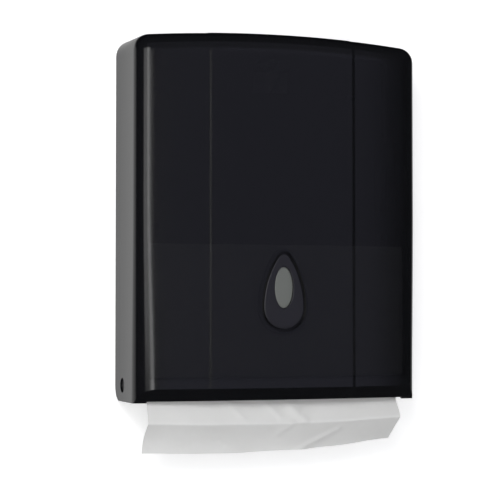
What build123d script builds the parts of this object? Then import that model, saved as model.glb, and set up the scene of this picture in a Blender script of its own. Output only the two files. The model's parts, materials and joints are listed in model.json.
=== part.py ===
"""Wall-mounted dispenser for folded paper towels.

Millimetres, +Z up, +X to the right seen from the room, the wall is the plane y = 0 and the
front faces -Y. The origin is the centre of the four wall screws on the wall plane.
Base: back plate, towel shelf, stack guides, hinge pins, lock strike and the towels.
Cover: bowed shell that swings forward and down on two pins at its lower rear corners,
with an egg-shaped window insert and a cam lock in its top.
"""
import os
from math import hypot

from build123d import *

os.makedirs("parts", exist_ok=True)

# ------------------------------------------------------------------ driving dimensions
# Cover, outside
COVER_HEIGHT = 337.5        # feet to the top corners, at the wall
FRONT_CLEAR = 0.2           # shelf to the inside of the front, level with the cover's sides
COVER_SKIN = 2.4
WALL_GAP = 1.0              # cover's rear edge to the wall
FRONT_BOW = 8.5             # crest of the front ahead of its side corners
TOP_CROWN = 6.0             # middle of the top above its corners
TOP_FALL = 3.0              # drop of the top from the wall to the front
EDGE_ROUND = 13.0           # between the front and the sides and top
CORNER_ROUND = 15.0         # upper corners seen from the front
HEEL_ROUND = 14.0           # lower rear corners seen from the side
LIP_HEIGHT = 13.0           # sloping lip under the front
LIP_RUN = 11.0
FOOT_RISE = 1.5             # the lip stops this far above the feet
FOOT_WIDTH = 12.5           # each foot, measured in from the side
PANEL_WIDTH = 141.4         # raised middle panel
PANEL_RISE = 0.4

# Hinge
HINGE_OUT = 26.0            # pin axis to the wall
HINGE_UP = 15.0             # pin axis above the feet
PIN_RADIUS = 6.8
PIN_PLAY = 0.05
PIN_SINK = 1.6              # pin face below the cover's side
PIN_SHANK_RADIUS = 4.0
PIN_CHAMFER = 0.5
COVER_BOSS_RADIUS = 9.5
COVER_BOSS_LENGTH = 2.2
EAR_THICKNESS = 3.8
EAR_RADIUS = 8.5
EAR_FOOT = 26.0             # ear's upper root above the pin axis
EAR_GAP = 0.4
CLIP_THICKNESS = 1.4
CLIP_RADIUS = 6.5
PIN_STUB = 0.4              # shank past the clip
SHELF_PLAY = 0.4            # shelf's end to the pin

# Back plate
PLATE_THICKNESS = 2.4
PLATE_GAP = 1.2             # all round, to the inside of the cover
PLATE_FOOT = 9.0            # lower edge above the feet
PLATE_ROUND = 10.0
RIM_DEPTH = 10.0
RIM_THICKNESS = 1.8
MOUNT_UP = 230.0            # centre of the wall screws above the feet
MOUNT_SPACING_X = 200.0
MOUNT_SPACING_Z = 130.0
MOUNT_SLOT_WIDTH = 5.2
MOUNT_SLOT_LENGTH = 10.0

# Towels: a 250 x 200 mm sheet folded to a third of its length
SHEET_WIDTH = 250.0
SHEET_LENGTH = 200.0
SHEET_THICKNESS = 1.2
STACK_TOP_UP = 145.0        # top of the stack above the feet
STACK_GAP = 0.8             # stack to plate and guides
STACK_ROUND = 2.0
DROP_GAP = 2.1              # hanging towel to the front edge of the slot
CREASE_UP = -19.4           # lowest fold above the feet
CREASE_AHEAD = 6.3          # lowest fold ahead of the towel in the slot
FLAP_LEAN = 42.0            # lower flap, leaning back from upright
TOWEL_BEND = 2.2
TAIL_OUT = 6.0              # hidden end of the towel to the wall

# Shelf
SHELF_UP = 20.0             # underside above the feet
SHELF_THICKNESS = 2.4
SHELF_MARGIN = 0.6          # shelf's front edge ahead of the stack
FRONT_BAR = 9.5             # shelf in front of the slot
REAR_LEDGE = 17.6           # shelf behind the slot
END_BAR = 2.0               # shelf beside the slot
SLOT_GAP = 1.0              # slot's ends past the towel
SHELF_EDGE = 0.9
RIB_DEPTH = 4.5             # rib under the shelf's front and ends
RIB_THICKNESS = 2.0
FLANGE_THICKNESS = 2.4
FLANGE_DEPTH = 10.0
GUSSET_THICKNESS = 2.0
GUSSET_REACH = 12.0
GUSSET_SPACING = 58.0
GUSSET_COUNT = 4
SHELF_SCREW_OUTER = 112.0
SHELF_SCREW_INNER = 58.0

# Stack guides
GUIDE_THICKNESS = 1.8
GUIDE_DEPTH = 46.0
GUIDE_TOP_UP = 250.0
GUIDE_ROUND = 12.0
GUIDE_EAR_GAP = 5.0         # guide's flange above the hinge ear
GUIDE_RIM_GAP = 0.3         # guide's flange to the rim of the back plate
GUIDE_FLANGE_THICKNESS = 2.0
GUIDE_SLOT_LENGTH = 48.0
GUIDE_SLOT_WIDTH = 16.0
GUIDE_SLOT_PITCH = 66.0
GUIDE_SCREW_END = 12.0      # end screws to the flange's ends

# Screws
SCREW_RADIUS = 1.45
SCREW_FIT = 0.05
SCREW_HEAD_RADIUS = 2.5
SCREW_HEAD_HEIGHT = 1.8
SCREW_HEAD_BEVEL = 0.6
SCREW_END_GAP = 0.3         # screw end to the wall

# Window insert, lens and retainer
POCKET_WIDTH = 44.0
POCKET_HEIGHT = 74.0
POCKET_TIP_RADIUS = 8.5
POCKET_UP = 64.5            # lowest point of the pocket above the feet
GROOVE_WIDTH = 2.2
BEZEL_LAP = 2.5             # flange past the pocket
BEZEL_FLANGE = 2.0
SEAT_GAP = 0.05
LENS_WIDTH = 18.0
LENS_HEIGHT = 38.0
LENS_RISE = 18.7            # lens centre above the centre of the pocket's big end
LENS_SINK = 1.0             # lens face behind the insert's face
LENS_PLAY = 0.1
LENS_LAP = 2.5
LENS_FLANGE = 1.5
RETAINER_THICKNESS = 1.2
RETAINER_INSET = 4.5        # retainer's outline inside the pocket's
RETAINER_MARGIN = 0.8       # retainer's opening past the lens
RETAINER_SCREW_RADIUS = 0.9
RETAINER_HEAD_RADIUS = 1.8
RETAINER_HEAD_HEIGHT = 1.2
RETAINER_SCREW_DEPTH = 2.4
RETAINER_SCREW_EDGE = 5.0   # screws to the retainer's outline

# Lock
LOCK_OUT = 34.0             # lock axis to the wall
LOCK_SINK = 1.4
LOCK_BOSS_RADIUS = 14.5
LOCK_BOSS_DEPTH = 6.0
LOCK_FLANGE_RADIUS = 11.0
LOCK_FLANGE = 1.2
LOCK_FLANGE_GAP = 0.3
HOUSING_RADIUS = 8.0
HOUSING_FIT = 0.1
HOUSING_LENGTH = 20.0
NUT_FLATS = 22.0
NUT_HEIGHT = 4.5
BARREL_RADIUS = 5.0
BARREL_PLAY = 0.05
BARREL_HEAD_RADIUS = 6.4
BARREL_HEAD_HEIGHT = 2.0
KEYWAY_LENGTH = 7.0
KEYWAY_WIDTH = 1.4
KEYWAY_DEPTH = 5.0
TAIL_SQUARE = 6.4
TAIL_FIT = 0.05
CAM_GAP = 0.3
CAM_THICKNESS = 2.0
CAM_LENGTH = 20.0           # axis to tip
CAM_WIDTH = 9.0
WASHER_RADIUS = 4.6
WASHER_THICKNESS = 0.8
CAM_SCREW_RADIUS = 1.5
CAM_SCREW_DEPTH = 8.0
CAM_HEAD_HEIGHT = 2.0

# Strike
STRIKE_GAP = 0.5            # cam to the post in front of it
STRIKE_OFFSET = 15.0        # middle of the strike's arm beside the lock axis
STRIKE_ARM_WIDTH = 12.0
STRIKE_THICKNESS = 2.0
STRIKE_POST = 3.0
STRIKE_DROP = 3.4           # cam above the strike's arm
STRIKE_OVER = 1.6           # post past the cam's upper face
STRIKE_FLANGE_WIDTH = 34.0
STRIKE_FLANGE_HEIGHT = 20.0
STRIKE_SCREW_SPACING = 24.0
STRIKE_SCREW_DROP = 3.0     # screws below the flange's middle

# ------------------------------------------------------------------ derived places
FOOT_Z = -MOUNT_UP
HINGE_Y = -HINGE_OUT
HINGE_Z = FOOT_Z + HINGE_UP

# across, from the middle of the towels out to the cover's side
SLOT_HALF = SHEET_WIDTH / 2 + SLOT_GAP
SHELF_HALF = SLOT_HALF + END_BAR
PIN_END = SHELF_HALF + SHELF_PLAY
EAR_INSIDE = PIN_END + PIN_STUB + CLIP_THICKNESS
EAR_OUTSIDE = EAR_INSIDE + EAR_THICKNESS
BOSS_FACE = EAR_OUTSIDE + EAR_GAP
SIDE_INSIDE = BOSS_FACE + COVER_BOSS_LENGTH
HALF_WIDTH = SIDE_INSIDE + COVER_SKIN
PLATE_HALF = SIDE_INSIDE - PLATE_GAP
RIM_INSIDE = PLATE_HALF - RIM_THICKNESS

# from the wall out to the crest of the front
PLATE_FRONT = -PLATE_THICKNESS
FOLD_DEPTH = SHEET_LENGTH / 3
STACK_REAR = PLATE_FRONT - STACK_GAP
STACK_FRONT = STACK_REAR - FOLD_DEPTH
SHELF_FRONT = STACK_FRONT - SHELF_MARGIN
COVER_DEPTH = FRONT_CLEAR + COVER_SKIN + FRONT_BOW - SHELF_FRONT
SLOT_REAR = PLATE_FRONT - REAR_LEDGE
SLOT_FRONT = SHELF_FRONT + FRONT_BAR
DROP_Y = SLOT_FRONT + DROP_GAP + SHEET_THICKNESS / 2

# shelf, towels and guides
SHELF_UNDERSIDE = FOOT_Z + SHELF_UP
SHELF_TOP = SHELF_UNDERSIDE + SHELF_THICKNESS
SHEET_Z = SHELF_TOP + SEAT_GAP + SHEET_THICKNESS / 2
STACK_FOOT = SHEET_Z + SHEET_THICKNESS / 2 + SEAT_GAP
GUIDE_INSIDE = SHEET_WIDTH / 2 + STACK_GAP
GUIDE_OUTSIDE = GUIDE_INSIDE + GUIDE_THICKNESS
GUIDE_HEIGHT = FOOT_Z + GUIDE_TOP_UP - SHELF_TOP
GUIDE_FLANGE_UP = HINGE_UP + EAR_FOOT + GUIDE_EAR_GAP
GUIDE_SCREW_X = (GUIDE_OUTSIDE + RIM_INSIDE) / 2
GUIDE_SCREW_UPS = (
    GUIDE_FLANGE_UP + GUIDE_SCREW_END,
    (GUIDE_FLANGE_UP + GUIDE_TOP_UP) / 2,
    GUIDE_TOP_UP - GUIDE_SCREW_END,
)
GUIDE_SCREWS = [(side * GUIDE_SCREW_X, FOOT_Z + up) for side in (-1, 1) for up in GUIDE_SCREW_UPS]
SHELF_SCREW_XS = (-SHELF_SCREW_OUTER, -SHELF_SCREW_INNER, SHELF_SCREW_INNER, SHELF_SCREW_OUTER)
SHELF_SCREWS = [(x, SHELF_UNDERSIDE - FLANGE_DEPTH / 2) for x in SHELF_SCREW_XS]
GUSSET_XS = [(i - (GUSSET_COUNT - 1) / 2) * GUSSET_SPACING for i in range(GUSSET_COUNT)]

# window insert
BEZEL_BACK = -COVER_DEPTH + COVER_SKIN + SEAT_GAP + BEZEL_FLANGE
RETAINER_BACK = BEZEL_BACK + RETAINER_THICKNESS
POCKET_Z = FOOT_Z + POCKET_UP + POCKET_WIDTH / 2
LENS_Z = POCKET_Z + LENS_RISE
RETAINER_SCREW_X = POCKET_WIDTH / 2 - RETAINER_INSET - RETAINER_SCREW_EDGE
RETAINER_SCREWS = (
    (0, FOOT_Z + POCKET_UP + POCKET_HEIGHT - RETAINER_INSET - RETAINER_SCREW_EDGE),
    (-RETAINER_SCREW_X, POCKET_Z),
    (RETAINER_SCREW_X, POCKET_Z),
)

# lock and strike, down from the top of the cover
LOCK_TOP = FOOT_Z + COVER_HEIGHT + TOP_CROWN + PANEL_RISE - TOP_FALL * LOCK_OUT / COVER_DEPTH
LOCK_SEAT = LOCK_TOP - LOCK_SINK
BOSS_UNDERSIDE = LOCK_SEAT - LOCK_BOSS_DEPTH
HOUSING_END = LOCK_SEAT - HOUSING_LENGTH
CAM_TOP = HOUSING_END - CAM_GAP
CAM_UNDERSIDE = CAM_TOP - CAM_THICKNESS
TAIL_END = CAM_UNDERSIDE + CAM_THICKNESS / 4
STRIKE_ARM_TOP = CAM_UNDERSIDE - STRIKE_DROP
STRIKE_REAR_FACE = -LOCK_OUT - CAM_WIDTH / 2 - STRIKE_GAP
STRIKE_FLANGE_Z = STRIKE_ARM_TOP - STRIKE_FLANGE_HEIGHT / 2
STRIKE_SCREWS = [
    (STRIKE_OFFSET + side * STRIKE_SCREW_SPACING / 2, STRIKE_FLANGE_Z - STRIKE_SCREW_DROP)
    for side in (-1, 1)
]


# ------------------------------------------------------------------ shared outlines
def arched_outline(half, bottom, top, crown, corner):
    """Face with a flat foot, upright sides, rounded upper corners and an arched top."""
    with BuildSketch() as outline:
        with BuildLine():
            Polyline((-half, top), (-half, bottom), (half, bottom), (half, top))
            ThreePointArc((half, top), (0, top + crown), (-half, top))
        make_face()
        fillet(outline.vertices().group_by(Axis.Y)[-1], corner)
    return outline.sketch


def egg_outline(width, height, tip_radius):
    """Egg with its big end down, the big circle's centre at the local origin."""
    big = width / 2
    rise = height - big - tip_radius
    flank = (big**2 - tip_radius**2 + rise**2) / (2 * (big - tip_radius))
    centre = big - flank
    reach = tip_radius / (flank - tip_radius)
    tip_x = -centre * reach
    tip_y = rise * (1 + reach)
    middle = Vector(flank, 0).rotate(Axis.Z, 0.5 * Vector(flank, 0).get_angle(Vector(tip_x - centre, tip_y)))
    with BuildSketch() as egg:
        with BuildLine():
            ThreePointArc((-big, 0), (0, -big), (big, 0))
            ThreePointArc((big, 0), (centre + middle.X, middle.Y), (tip_x, tip_y))
            ThreePointArc((tip_x, tip_y), (0, rise + tip_radius), (-tip_x, tip_y))
            ThreePointArc((-tip_x, tip_y), (-centre - middle.X, middle.Y), (-big, 0))
        make_face()
    return egg.sketch


def cover_form(inset, rear, floor):
    """The cover's outer form, moved inwards by inset and run on to the rear and floor planes."""
    half = HALF_WIDTH - inset
    front = -COVER_DEPTH + inset
    slope = TOP_FALL / COVER_DEPTH
    top_at_rear = FOOT_Z + COVER_HEIGHT - inset + slope * rear
    reach = rear + COVER_DEPTH + FRONT_BOW
    with BuildPart() as form:
        with BuildSketch(Plane.XZ.offset(-rear)):
            low = floor - slope * reach
            add(arched_outline(half, low, top_at_rear, TOP_CROWN, CORNER_ROUND - inset))
        extrude(amount=hypot(reach, slope * reach), dir=(0, -1, -slope))
        with BuildSketch(Plane.XY.offset(floor)):
            with BuildLine():
                bow = ThreePointArc((-half, front + FRONT_BOW), (0, front), (half, front + FRONT_BOW))
                Polyline(bow @ 1, (half, rear), (-half, rear), bow @ 0)
            make_face()
        extrude(amount=COVER_HEIGHT + 2 * TOP_CROWN + FOOT_Z - floor, mode=Mode.INTERSECT)
        face = form.faces().sort_by(Axis.Y)[0]
        fillet(face.edges().sort_by(Axis.Z)[1:], EDGE_ROUND - inset)
        # sloping lip: a leaning prism whose rear wall follows the bow
        slant = hypot(LIP_HEIGHT, LIP_RUN)
        lip_top = FOOT_Z + LIP_HEIGHT + inset * (slant - LIP_HEIGHT) / LIP_RUN
        with BuildSketch(Plane.XY.offset(lip_top + LIP_HEIGHT / 2)):
            crest = front - LIP_RUN / 2
            side = half + EDGE_ROUND
            with BuildLine():
                flank = crest + FRONT_BOW
                ahead = 2 * front
                bow = ThreePointArc((-half, flank), (0, crest), (half, flank))
                Polyline(bow @ 1, (side, flank), (side, ahead), (-side, ahead), (-side, flank), bow @ 0)
            make_face()
        extrude(amount=3 * slant, dir=(0, LIP_RUN, -LIP_HEIGHT), mode=Mode.SUBTRACT)
    return form.part


def egg_face(growth):
    """The window's egg outline, grown all round by growth from the cover's pocket."""
    width = POCKET_WIDTH + 2 * growth
    egg = egg_outline(width, POCKET_HEIGHT + 2 * growth, POCKET_TIP_RADIUS + growth)
    return egg.moved(Location((0, POCKET_Z)))


# ------------------------------------------------------------------ front cover
outer_form = cover_form(0, -WALL_GAP, FOOT_Z)
inner_form = cover_form(COVER_SKIN, EDGE_ROUND, FOOT_Z - EDGE_ROUND)
raised_form = cover_form(-PANEL_RISE, -WALL_GAP, FOOT_Z)

with BuildPart() as lock_boss:
    add(raised_form)
    with Locations((0, -LOCK_OUT, LOCK_TOP)):
        Cylinder(LOCK_BOSS_RADIUS, 2 * (LOCK_TOP - BOSS_UNDERSIDE), mode=Mode.INTERSECT)

with BuildPart() as raised_panel:
    add(raised_form)
    Box(PANEL_WIDTH, 3 * COVER_DEPTH, 3 * COVER_HEIGHT, mode=Mode.INTERSECT)

with BuildPart() as front_cover:
    add(outer_form)
    add(raised_panel.part)
    # lower rear corners rounded, so that the heel clears the wall as the cover swings
    with BuildSketch(Plane.YZ.offset(-2 * HALF_WIDTH)):
        heel = (-WALL_GAP - HEEL_ROUND, FOOT_Z + HEEL_ROUND)
        with Locations(heel):
            Rectangle(2 * HEEL_ROUND, 2 * HEEL_ROUND, align=(Align.MIN, Align.MAX))
            Circle(HEEL_ROUND, mode=Mode.SUBTRACT)
    extrude(amount=4 * HALF_WIDTH, mode=Mode.SUBTRACT)
    add(inner_form, mode=Mode.SUBTRACT)
    # the lip stops short between the two feet
    with Locations((0, -COVER_DEPTH, FOOT_Z)):
        Box(2 * (HALF_WIDTH - FOOT_WIDTH), 2 * COVER_DEPTH, 2 * FOOT_RISE, mode=Mode.SUBTRACT)
    # hinge bosses and bores
    for side in (-1, 1):
        with BuildSketch(Plane.YZ.offset(side * BOSS_FACE)):
            with Locations((HINGE_Y, HINGE_Z)):
                Circle(COVER_BOSS_RADIUS)
        extrude(amount=side * (COVER_BOSS_LENGTH + COVER_SKIN / 2))
        with BuildSketch(Plane.YZ.offset(side * EAR_OUTSIDE)):
            with Locations((HINGE_Y, HINGE_Z)):
                Circle(PIN_RADIUS + PIN_PLAY)
        extrude(amount=side * HALF_WIDTH, mode=Mode.SUBTRACT)
    # lock boss, its recess and bore
    add(lock_boss.part)
    with BuildSketch(Plane.XY.offset(LOCK_SEAT)):
        with Locations((0, -LOCK_OUT)):
            Circle(LOCK_FLANGE_RADIUS + LOCK_FLANGE_GAP)
    extrude(amount=LOCK_BOSS_DEPTH, mode=Mode.SUBTRACT)
    with BuildSketch(Plane.XY.offset(BOSS_UNDERSIDE - LOCK_SINK)):
        with Locations((0, -LOCK_OUT)):
            Circle(HOUSING_RADIUS + HOUSING_FIT)
    extrude(amount=2 * LOCK_BOSS_DEPTH, mode=Mode.SUBTRACT)
    # egg-shaped pocket for the window insert
    with BuildSketch(Plane.XZ.offset(COVER_DEPTH - EDGE_ROUND)):
        add(egg_face(0))
    extrude(amount=2 * EDGE_ROUND, mode=Mode.SUBTRACT)

# ------------------------------------------------------------------ window insert
with BuildPart() as bezel_flange:
    with BuildSketch(Plane.XZ.offset(-BEZEL_BACK)):
        add(egg_face(BEZEL_LAP))
    extrude(amount=EDGE_ROUND)
    add(cover_form(COVER_SKIN + SEAT_GAP, -WALL_GAP, FOOT_Z), mode=Mode.INTERSECT)

with BuildPart() as window_bezel:
    with BuildSketch(Plane.XZ.offset(-BEZEL_BACK)):
        add(egg_face(-GROOVE_WIDTH))
    extrude(amount=EDGE_ROUND)
    add(raised_form, mode=Mode.INTERSECT)
    add(bezel_flange.part)
    with BuildSketch(Plane.XZ.offset(COVER_DEPTH - EDGE_ROUND)):
        with Locations((0, LENS_Z)):
            Ellipse(LENS_WIDTH / 2 + LENS_PLAY, LENS_HEIGHT / 2 + LENS_PLAY)
    extrude(amount=2 * EDGE_ROUND, mode=Mode.SUBTRACT)
    with BuildSketch(Plane.XZ.offset(-BEZEL_BACK)):
        with Locations((0, LENS_Z)):
            Ellipse(LENS_WIDTH / 2 + LENS_LAP + LENS_PLAY, LENS_HEIGHT / 2 + LENS_LAP + LENS_PLAY)
    extrude(amount=LENS_FLANGE, mode=Mode.SUBTRACT)
    with BuildSketch(Plane.XZ.offset(-BEZEL_BACK)):
        with Locations(*RETAINER_SCREWS):
            Circle(RETAINER_SCREW_RADIUS + SCREW_FIT)
    extrude(amount=RETAINER_SCREW_DEPTH + SCREW_FIT, mode=Mode.SUBTRACT)

with BuildPart() as sight_lens:
    with BuildSketch(Plane.XZ.offset(-BEZEL_BACK)):
        with Locations((0, LENS_Z)):
            Ellipse(LENS_WIDTH / 2 + LENS_LAP, LENS_HEIGHT / 2 + LENS_LAP)
    extrude(amount=LENS_FLANGE)
    with BuildSketch(Plane.XZ.offset(-BEZEL_BACK)):
        with Locations((0, LENS_Z)):
            Ellipse(LENS_WIDTH / 2, LENS_HEIGHT / 2)
    extrude(amount=COVER_DEPTH + PANEL_RISE + BEZEL_BACK - LENS_SINK)
    chamfer(sight_lens.faces().sort_by(Axis.Y)[0].edges(), LENS_SINK / 2)

with BuildPart() as lens_retainer:
    with BuildSketch(Plane.XZ.offset(-RETAINER_BACK)):
        add(egg_face(-RETAINER_INSET))
        with Locations(*RETAINER_SCREWS):
            Circle(RETAINER_SCREW_RADIUS + SCREW_FIT, mode=Mode.SUBTRACT)
        with Locations((0, LENS_Z)):
            Ellipse(LENS_WIDTH / 2 + RETAINER_MARGIN, LENS_HEIGHT / 2 + RETAINER_MARGIN, mode=Mode.SUBTRACT)
    extrude(amount=RETAINER_THICKNESS)

with BuildPart() as retainer_screws:
    with BuildSketch(Plane.XZ.offset(-RETAINER_BACK)):
        with Locations(*RETAINER_SCREWS):
            Circle(RETAINER_HEAD_RADIUS)
    extrude(amount=-RETAINER_HEAD_HEIGHT)
    with BuildSketch(Plane.XZ.offset(-RETAINER_BACK)):
        with Locations(*RETAINER_SCREWS):
            Circle(RETAINER_SCREW_RADIUS)
    extrude(amount=RETAINER_THICKNESS + RETAINER_SCREW_DEPTH)

# ------------------------------------------------------------------ back plate
with BuildPart() as back_plate:
    plate_top = FOOT_Z + COVER_HEIGHT - COVER_SKIN - PLATE_GAP
    with BuildSketch(Plane.XZ) as plate_face:
        add(arched_outline(PLATE_HALF, FOOT_Z + PLATE_FOOT, plate_top, TOP_CROWN, PLATE_ROUND))
    extrude(amount=PLATE_THICKNESS)
    with BuildSketch(Plane.XZ):
        add(arched_outline(PLATE_HALF, FOOT_Z + PLATE_FOOT, plate_top, TOP_CROWN, PLATE_ROUND))
        add(
            arched_outline(
                RIM_INSIDE,
                FOOT_Z + PLATE_FOOT - RIM_DEPTH,
                plate_top - RIM_THICKNESS,
                TOP_CROWN,
                PLATE_ROUND - RIM_THICKNESS,
            ),
            mode=Mode.SUBTRACT,
        )
    extrude(amount=RIM_DEPTH)
    # hinge ears
    for side in (-1, 1):
        with BuildSketch(Plane.YZ.offset(side * EAR_INSIDE)):
            with BuildLine():
                CenterArc((HINGE_Y, HINGE_Z), EAR_RADIUS, 0, 360)
                Line((PLATE_FRONT / 2, HINGE_Z + EAR_FOOT), (PLATE_FRONT / 2, FOOT_Z + PLATE_FOOT))
            make_hull()
            with Locations((HINGE_Y, HINGE_Z)):
                Circle(PIN_SHANK_RADIUS + SCREW_FIT, mode=Mode.SUBTRACT)
        extrude(amount=side * EAR_THICKNESS)
    # wall slots and the pilot holes of every screw that the plate takes
    with BuildSketch(Plane.XZ):
        with GridLocations(MOUNT_SPACING_X, MOUNT_SPACING_Z, 2, 2):
            SlotOverall(MOUNT_SLOT_LENGTH, MOUNT_SLOT_WIDTH)
        with Locations(*SHELF_SCREWS, *GUIDE_SCREWS, *STRIKE_SCREWS):
            Circle(SCREW_RADIUS + SCREW_FIT)
    extrude(amount=2 * PLATE_THICKNESS, mode=Mode.SUBTRACT)


# ------------------------------------------------------------------ screws into the plate
def pan_screws(places, grip):
    """Pan-head screws along Y whose heads clamp a layer of thickness grip onto the plate."""
    seat = PLATE_FRONT - grip
    with BuildPart() as screws:
        with BuildSketch(Plane.XZ.offset(-seat)):
            with Locations(*places):
                Circle(SCREW_HEAD_RADIUS)
        extrude(amount=SCREW_HEAD_HEIGHT)
        chamfer(screws.faces().group_by(Axis.Y)[0].edges(), SCREW_HEAD_BEVEL)
        with BuildSketch(Plane.XZ.offset(-seat)):
            with Locations(*places):
                Circle(SCREW_RADIUS)
        extrude(amount=seat + SCREW_END_GAP)
    return screws


shelf_screws = pan_screws(SHELF_SCREWS, FLANGE_THICKNESS)
guide_screws = pan_screws(GUIDE_SCREWS, GUIDE_FLANGE_THICKNESS)
strike_screws = pan_screws(STRIKE_SCREWS, STRIKE_THICKNESS)

# ------------------------------------------------------------------ towel shelf
with BuildPart() as towel_shelf:
    with BuildSketch(Plane.XY.offset(SHELF_TOP)):
        with Locations((0, PLATE_FRONT)):
            Rectangle(2 * SHELF_HALF, PLATE_FRONT - SHELF_FRONT, align=(Align.CENTER, Align.MAX))
        with Locations((0, SLOT_REAR)):
            Rectangle(
                2 * SLOT_HALF,
                SLOT_REAR - SLOT_FRONT,
                align=(Align.CENTER, Align.MAX),
                mode=Mode.SUBTRACT,
            )
    extrude(amount=-SHELF_THICKNESS)
    long_edges = towel_shelf.edges().filter_by(Axis.X)
    fillet(long_edges.filter_by_position(Axis.Y, SLOT_FRONT, SLOT_REAR), SHELF_EDGE)
    # rib under the front and the ends
    with BuildSketch(Plane.XY.offset(SHELF_UNDERSIDE)):
        with Locations((0, PLATE_FRONT)):
            Rectangle(2 * SHELF_HALF, PLATE_FRONT - SHELF_FRONT, align=(Align.CENTER, Align.MAX))
            Rectangle(
                2 * (SHELF_HALF - RIB_THICKNESS),
                PLATE_FRONT - SHELF_FRONT - RIB_THICKNESS,
                align=(Align.CENTER, Align.MAX),
                mode=Mode.SUBTRACT,
            )
    extrude(amount=-RIB_DEPTH)
    # rear flange against the plate
    with BuildSketch(Plane.XZ.offset(-PLATE_FRONT)):
        with Locations((0, SHELF_UNDERSIDE)):
            Rectangle(2 * SHELF_HALF, FLANGE_DEPTH, align=(Align.CENTER, Align.MAX))
        with Locations(*SHELF_SCREWS):
            Circle(SCREW_RADIUS + SCREW_FIT, mode=Mode.SUBTRACT)
    extrude(amount=FLANGE_THICKNESS)
    # gussets between flange and rear ledge
    flange_face = PLATE_FRONT - FLANGE_THICKNESS
    for x in GUSSET_XS:
        with BuildSketch(Plane.YZ.offset(x - GUSSET_THICKNESS / 2)):
            with BuildLine():
                Polyline(
                    (flange_face, SHELF_UNDERSIDE),
                    (flange_face - GUSSET_REACH, SHELF_UNDERSIDE),
                    (flange_face, SHELF_UNDERSIDE - FLANGE_DEPTH),
                    close=True,
                )
            make_face()
        extrude(amount=GUSSET_THICKNESS)

# ------------------------------------------------------------------ stack guides
guides = {}
for name, side in (("left_stack_guide", -1), ("right_stack_guide", 1)):
    with BuildPart() as guide:
        with BuildSketch(Plane.YZ.offset(side * GUIDE_INSIDE)) as wall:
            with Locations((PLATE_FRONT, SHELF_TOP)):
                Rectangle(GUIDE_DEPTH, GUIDE_HEIGHT, align=(Align.MAX, Align.MIN))
            fillet(wall.vertices().group_by(Axis.X)[0].sort_by(Axis.Y)[-1], GUIDE_ROUND)
            with Locations((PLATE_FRONT - GUIDE_DEPTH / 2, SHELF_TOP + GUIDE_HEIGHT / 2)):
                with GridLocations(GUIDE_DEPTH, GUIDE_SLOT_PITCH, 1, 3):
                    SlotOverall(GUIDE_SLOT_LENGTH, GUIDE_SLOT_WIDTH, rotation=90, mode=Mode.SUBTRACT)
        extrude(amount=side * GUIDE_THICKNESS)
        with BuildSketch(Plane.XZ.offset(-PLATE_FRONT)):
            flange_middle = (GUIDE_OUTSIDE + RIM_INSIDE - GUIDE_RIM_GAP) / 2
            with Locations((side * flange_middle, FOOT_Z + (GUIDE_FLANGE_UP + GUIDE_TOP_UP) / 2)):
                Rectangle(RIM_INSIDE - GUIDE_RIM_GAP - GUIDE_OUTSIDE, GUIDE_TOP_UP - GUIDE_FLANGE_UP)
            with Locations(*GUIDE_SCREWS):
                Circle(SCREW_RADIUS + SCREW_FIT, mode=Mode.SUBTRACT)
        extrude(amount=GUIDE_FLANGE_THICKNESS)
    guides[name] = guide

# ------------------------------------------------------------------ hinge pins and clips
pins = {}
for name, side in (("left", -1), ("right", 1)):
    with BuildPart() as hinge_pin:
        with BuildSketch(Plane.YZ.offset(side * EAR_OUTSIDE)):
            with Locations((HINGE_Y, HINGE_Z)):
                Circle(PIN_RADIUS)
        extrude(amount=side * (HALF_WIDTH - PIN_SINK - EAR_OUTSIDE))
        chamfer(hinge_pin.faces().sort_by(Axis.X)[-1 if side > 0 else 0].edges(), PIN_CHAMFER)
        with BuildSketch(Plane.YZ.offset(side * PIN_END)):
            with Locations((HINGE_Y, HINGE_Z)):
                Circle(PIN_SHANK_RADIUS)
        extrude(amount=side * (EAR_OUTSIDE - PIN_END))
    pins[name + "_hinge_pin"] = hinge_pin
    with BuildPart() as pin_clip:
        with BuildSketch(Plane.YZ.offset(side * EAR_INSIDE)):
            with Locations((HINGE_Y, HINGE_Z)):
                Circle(CLIP_RADIUS)
                Circle(PIN_SHANK_RADIUS + SCREW_FIT, mode=Mode.SUBTRACT)
        extrude(amount=-side * CLIP_THICKNESS)
    pins[name + "_pin_clip"] = pin_clip

# ------------------------------------------------------------------ cam lock
with BuildPart() as lock_housing:
    with BuildSketch(Plane.XY.offset(LOCK_SEAT)):
        with Locations((0, -LOCK_OUT)):
            Circle(LOCK_FLANGE_RADIUS)
    extrude(amount=LOCK_FLANGE)
    chamfer(lock_housing.faces().sort_by(Axis.Z)[-1].edges(), LOCK_FLANGE / 3)
    with BuildSketch(Plane.XY.offset(LOCK_SEAT)):
        with Locations((0, -LOCK_OUT)):
            Circle(HOUSING_RADIUS)
    extrude(amount=-HOUSING_LENGTH)
    with Locations((0, -LOCK_OUT, LOCK_SEAT + LOCK_FLANGE)):
        CounterBoreHole(
            BARREL_RADIUS + BARREL_PLAY,
            BARREL_HEAD_RADIUS + BARREL_PLAY,
            BARREL_HEAD_HEIGHT,
            2 * HOUSING_LENGTH,
        )

with BuildPart() as lock_nut:
    with BuildSketch(Plane.XY.offset(BOSS_UNDERSIDE)):
        with Locations((0, -LOCK_OUT)):
            RegularPolygon(NUT_FLATS / 2, 6, major_radius=False)
            Circle(HOUSING_RADIUS + SCREW_FIT, mode=Mode.SUBTRACT)
    extrude(amount=-NUT_HEIGHT)

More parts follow.
